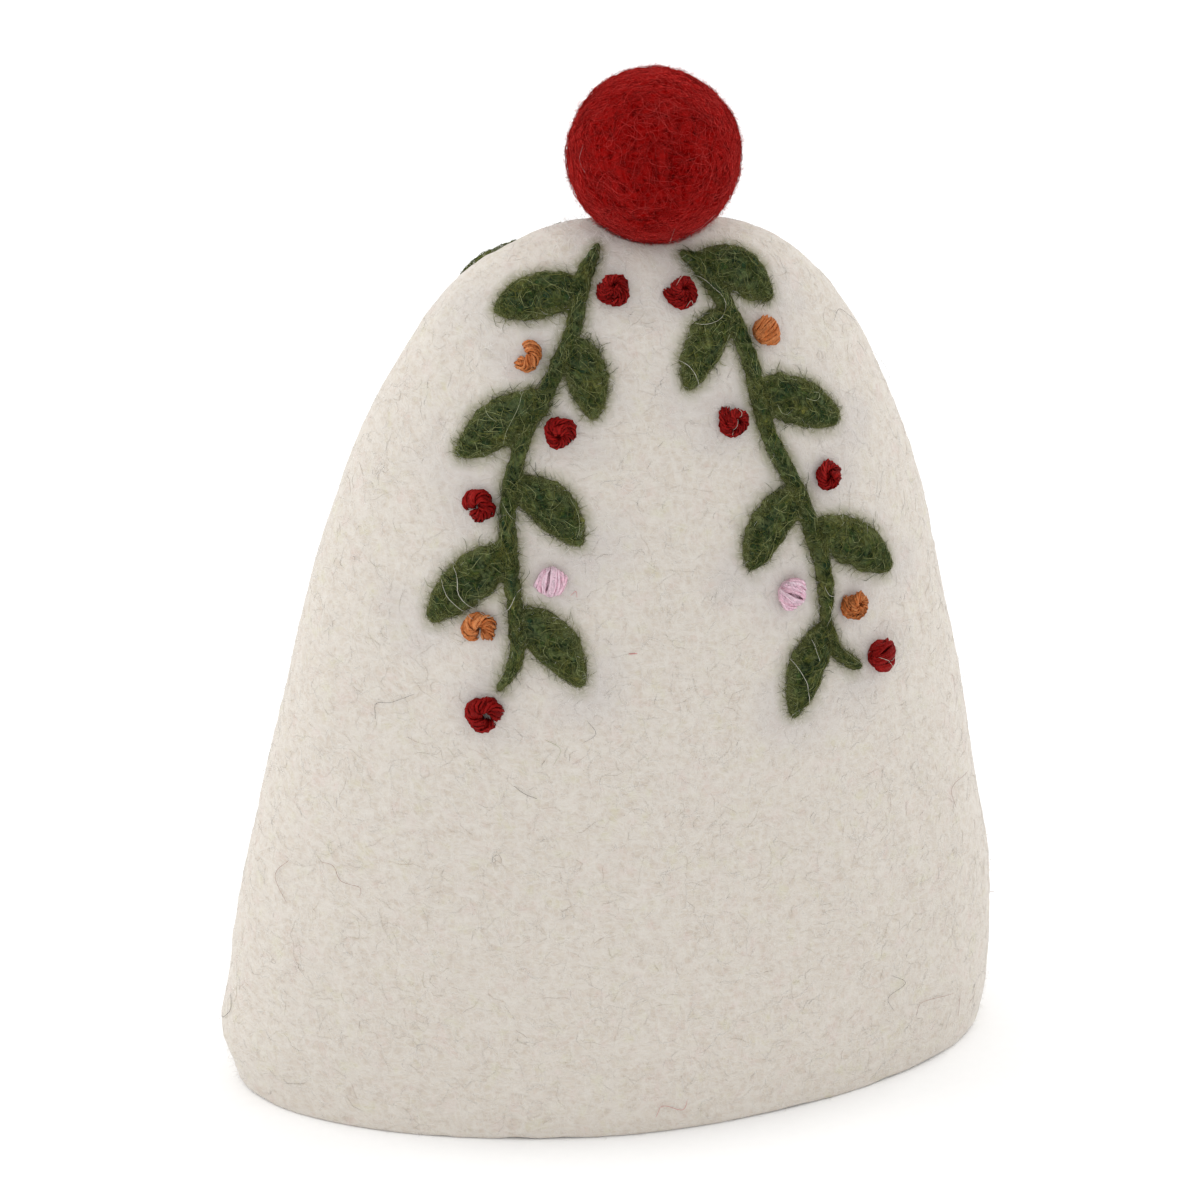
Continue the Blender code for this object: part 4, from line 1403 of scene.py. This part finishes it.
STRAYS = (
    # Pale threads over the left sprig and beside it.
    Stray([(-18.1, 32.8), (-17.5, 34.2), (-17.4, 35.7), (-16.2, 37.1), (-14.4, 37.6), (-13.2, 36.8),
           (-12.4, 35.2), (-10.9, 34.5)], "pale", 0.13),
    Stray([(-19.0, 34.4), (-18.5, 35.7), (-17.3, 37.1), (-16.2, 37.8)], "pale", 0.10),
    Stray([(-7.7, 26.5), (-7.0, 28.0), (-6.9, 29.4), (-7.2, 30.3)], "sage", 0.08),
    Stray([(-13.6, 26.9), (-13.0, 28.0), (-12.4, 28.7), (-11.7, 28.9)], "sage", 0.09),
    Stray([(-14.9, 18.3), (-14.4, 19.2), (-13.7, 19.7)], "sage", 0.08),
    Stray([(-11.5, 17.0), (-11.9, 18.4), (-12.9, 20.4), (-13.4, 22.0)], "sage", 0.08),
    # Threads over the right sprig and its berries.
    Stray([(2.3, 8.2), (3.1, 7.3), (4.3, 7.0), (5.4, 7.9), (6.7, 9.5), (7.0, 10.6), (6.2, 11.5),
           (4.9, 11.7), (4.0, 11.4)], "pale", 0.08),
    Stray([(3.3, 10.0), (3.7, 9.5), (4.1, 9.9), (4.8, 9.4)], "pale", 0.08),
    Stray([(2.1, 4.0), (3.0, 5.6), (4.3, 7.1)], "pale", 0.08),
    Stray([(2.3, 14.4), (3.3, 15.2), (3.9, 16.2), (4.4, 17.4)], "pale", 0.10),
    Stray([(7.4, 12.8), (6.8, 13.8), (6.5, 14.9), (5.8, 16.0)], "sage", 0.08),
    Stray([(7.5, 19.2), (7.8, 20.0), (7.3, 20.8), (7.0, 21.9)], "pale", 0.08),
    Stray([(14.0, 19.8), (15.1, 20.3), (15.6, 19.8), (14.9, 19.5)], "sage", 0.08),
    Stray([(11.4, 19.8), (11.9, 20.7), (12.5, 21.0)], "sage", 0.08),
    Stray([(15.9, 37.6), (16.3, 38.5), (17.2, 38.9), (18.2, 38.9)], "pale", 0.08),
    Stray([(15.1, 39.2), (15.9, 39.7), (15.2, 40.3), (14.7, 41.3)], "pale", 0.09),
    Stray([(16.4, 39.6), (16.7, 40.5), (16.3, 41.6)], "pale", 0.08),
    Stray([(12.4, 43.4), (13.4, 45.0), (14.1, 46.5), (14.4, 48.0), (14.9, 49.2)], "pale", 0.12),
    Stray([(14.7, 42.4), (15.0, 43.6), (15.3, 44.6)], "pale", 0.09),
    Stray([(18.0, 44.3), (19.0, 45.4), (20.0, 46.4)], "sage", 0.08),
    Stray([(21.2, 45.8), (22.2, 46.5), (22.8, 47.5)], "pale", 0.08),
    Stray([(23.5, 45.5), (22.9, 46.2), (22.4, 46.7)], "pale", 0.08),
    # Curled dark, rose and grey fibres on the open felt.
    Stray([(-24.9, 48.9), (-24.8, 47.3), (-23.5, 46.9), (-21.5, 45.8)], "slate", 0.07),
    Stray([(-32.4, 64.4), (-33.6, 66.5), (-32.8, 68.8)], "russet", 0.07),
    Stray([(-29.9, 63.7), (-28.8, 63.8), (-28.2, 65.1), (-26.6, 65.4), (-26.6, 66.4)], "russet", 0.07),
    Stray([(-13.0, 54.1), (-12.0, 54.9), (-10.8, 55.4)], "slate", 0.08),
    Stray([(-37.0, 80.8), (-36.9, 82.2), (-37.2, 84.0)], "slate", 0.10),
    Stray([(33.0, 62.4), (30.8, 62.7), (31.3, 65.0)], "russet", 0.06),
    Stray([(24.2, 79.2), (25.9, 80.7), (24.0, 81.6), (24.8, 83.4)], "slate", 0.07),
    Stray([(31.6, 84.2), (29.3, 83.7), (27.7, 83.6), (27.2, 84.8)], "russet", 0.07),
    Stray([(32.3, 84.6), (32.2, 87.2)], "russet", 0.06),
    Stray([(3.7, 87.6), (3.2, 88.7), (1.3, 88.0), (0.6, 89.2)], "rose", 0.08),
    Stray([(-10.2, 49.4), (-8.8, 50.4), (-9.4, 52.0)], "sage", 0.07),
    Stray([(-6.4, 47.6), (-5.6, 48.9), (-6.8, 49.8)], "slate", 0.06),
    Stray([(18.0, 14.3), (18.9, 13.7), (20.8, 15.7)], "slate", 0.06),
    Stray([(23.0, 19.3), (24.4, 21.5), (24.8, 23.0)], "slate", 0.06),
    Stray([(-2.6, 41.4), (-1.8, 41.4)], "rose", 0.16),
    Stray([(-7.8, 35.7), (-7.3, 35.3), (-7.2, 35.9)], "rose", 0.09),
)
STRAY_COLOURS = {
    "pale": (0.56, 0.54, 0.46), "sage": (0.42, 0.44, 0.28), "slate": (0.20, 0.18, 0.17),
    "russet": (0.38, 0.22, 0.18), "rose": (0.62, 0.22, 0.22),
}
STRAY_STEPS = 22
STRAY_LIFT = 0.15 * MM
STRAY_FINENESS = 0.31  # a stray's half thickness, as a share of the thickness in its list
# How far the back's strays are moved, and how far down they may lie.
BACK_WANDER, BACK_LOWEST = 2.5 * MM, 88 * MM


class COSY_OT_stray_fibres(bpy.types.Operator):
    """Lays single stray fibres and threads over the felt, the sprigs and the berries"""
    bl_idname = "egg_cosy.stray_fibres"
    bl_label = "Stray fibres"

    def execute(self, context):
        solid = [piece for piece in context.scene.objects if piece.type == "MESH"
                 and (piece.name == "felt_bell" or piece.name.endswith(("_wool", "_yarn")))]
        if len(solid) < 2:
            raise RuntimeError("The bell, the sprigs and the berries are needed first")
        tree = search_tree(*merged([mesh_arrays(piece.data)[:2] for piece in solid]))
        rng = np.random.default_rng(91)
        for colour, tone in STRAY_COLOURS.items():
            material = loose_fibre(f"{colour}_stray", (0, darker(tone, 0.85)), (1, tone))
            strays = [stray for stray in STRAYS if stray.colour == colour]
            for side, face in (("front", FRONT), ("back", BACK)):
                paths, radii = [], []
                for stray in strays:
                    flat = route_arrays(stray.places, np.linspace(0, 1, STRAY_STEPS))[0]
                    if face == BACK:
                        flat = flat + rng.normal(0, BACK_WANDER, 2)
                        flat[:, 1] = np.minimum(flat[:, 1], BACK_LOWEST)
                    lift = np.full(STRAY_STEPS, STRAY_LIFT)
                    paths.append(drape(tree, face, flat[:, 0], flat[:, 1], lift))
                    radii.append(STRAY_FINENESS * stray.thickness * MM)
                tints = rng.random(len(radii))
                fibre_piece(f"strays_{colour}_{side}", "cream_felt", np.array(paths), np.array(radii),
                            tints, material)
        return {"FINISHED"}


# The sidebar panel, and the start of the script.

OPERATORS = (
    COSY_OT_stage, COSY_OT_felt_bell, COSY_OT_felt_nap, COSY_OT_felt_ball, COSY_OT_sprigs, COSY_OT_berries,
    COSY_OT_stray_fibres,
)


class COSY_PT_panel(bpy.types.Panel):
    """Lists the pieces of the egg cosy"""
    bl_idname = "COSY_PT_panel"
    bl_label = "Felt Egg Cosy"
    bl_space_type = "VIEW_3D"
    bl_region_type = "UI"
    bl_category = "Egg Cosy"

    def draw(self, context):
        for operator in OPERATORS:
            self.layout.operator(operator.bl_idname)
        for name in CosySettings.__annotations__:
            settings = getattr(context.scene.egg_cosy, name)
            box = self.layout.box()
            box.label(text=name.title())
            for prop in type(settings).__annotations__:
                box.prop(settings, prop)


CLASSES = (
    FeltSettings, BallSettings, SprigSettings, YarnSettings, StageSettings, CosySettings, *OPERATORS,
    COSY_PT_panel,
)


def register():
    for cls in CLASSES:
        bpy.utils.register_class(cls)
    bpy.types.Scene.egg_cosy = PointerProperty(type=CosySettings)


def unregister():
    del bpy.types.Scene.egg_cosy
    for cls in reversed(CLASSES):
        bpy.utils.unregister_class(cls)


def main():
    register()
    bpy.ops.egg_cosy.stage()
    bpy.ops.egg_cosy.felt_bell()
    bpy.ops.egg_cosy.felt_nap()
    bpy.ops.egg_cosy.felt_ball()
    bpy.ops.egg_cosy.sprigs()
    bpy.ops.egg_cosy.berries()
    bpy.ops.egg_cosy.stray_fibres()


if __name__ == "__main__":
    main()
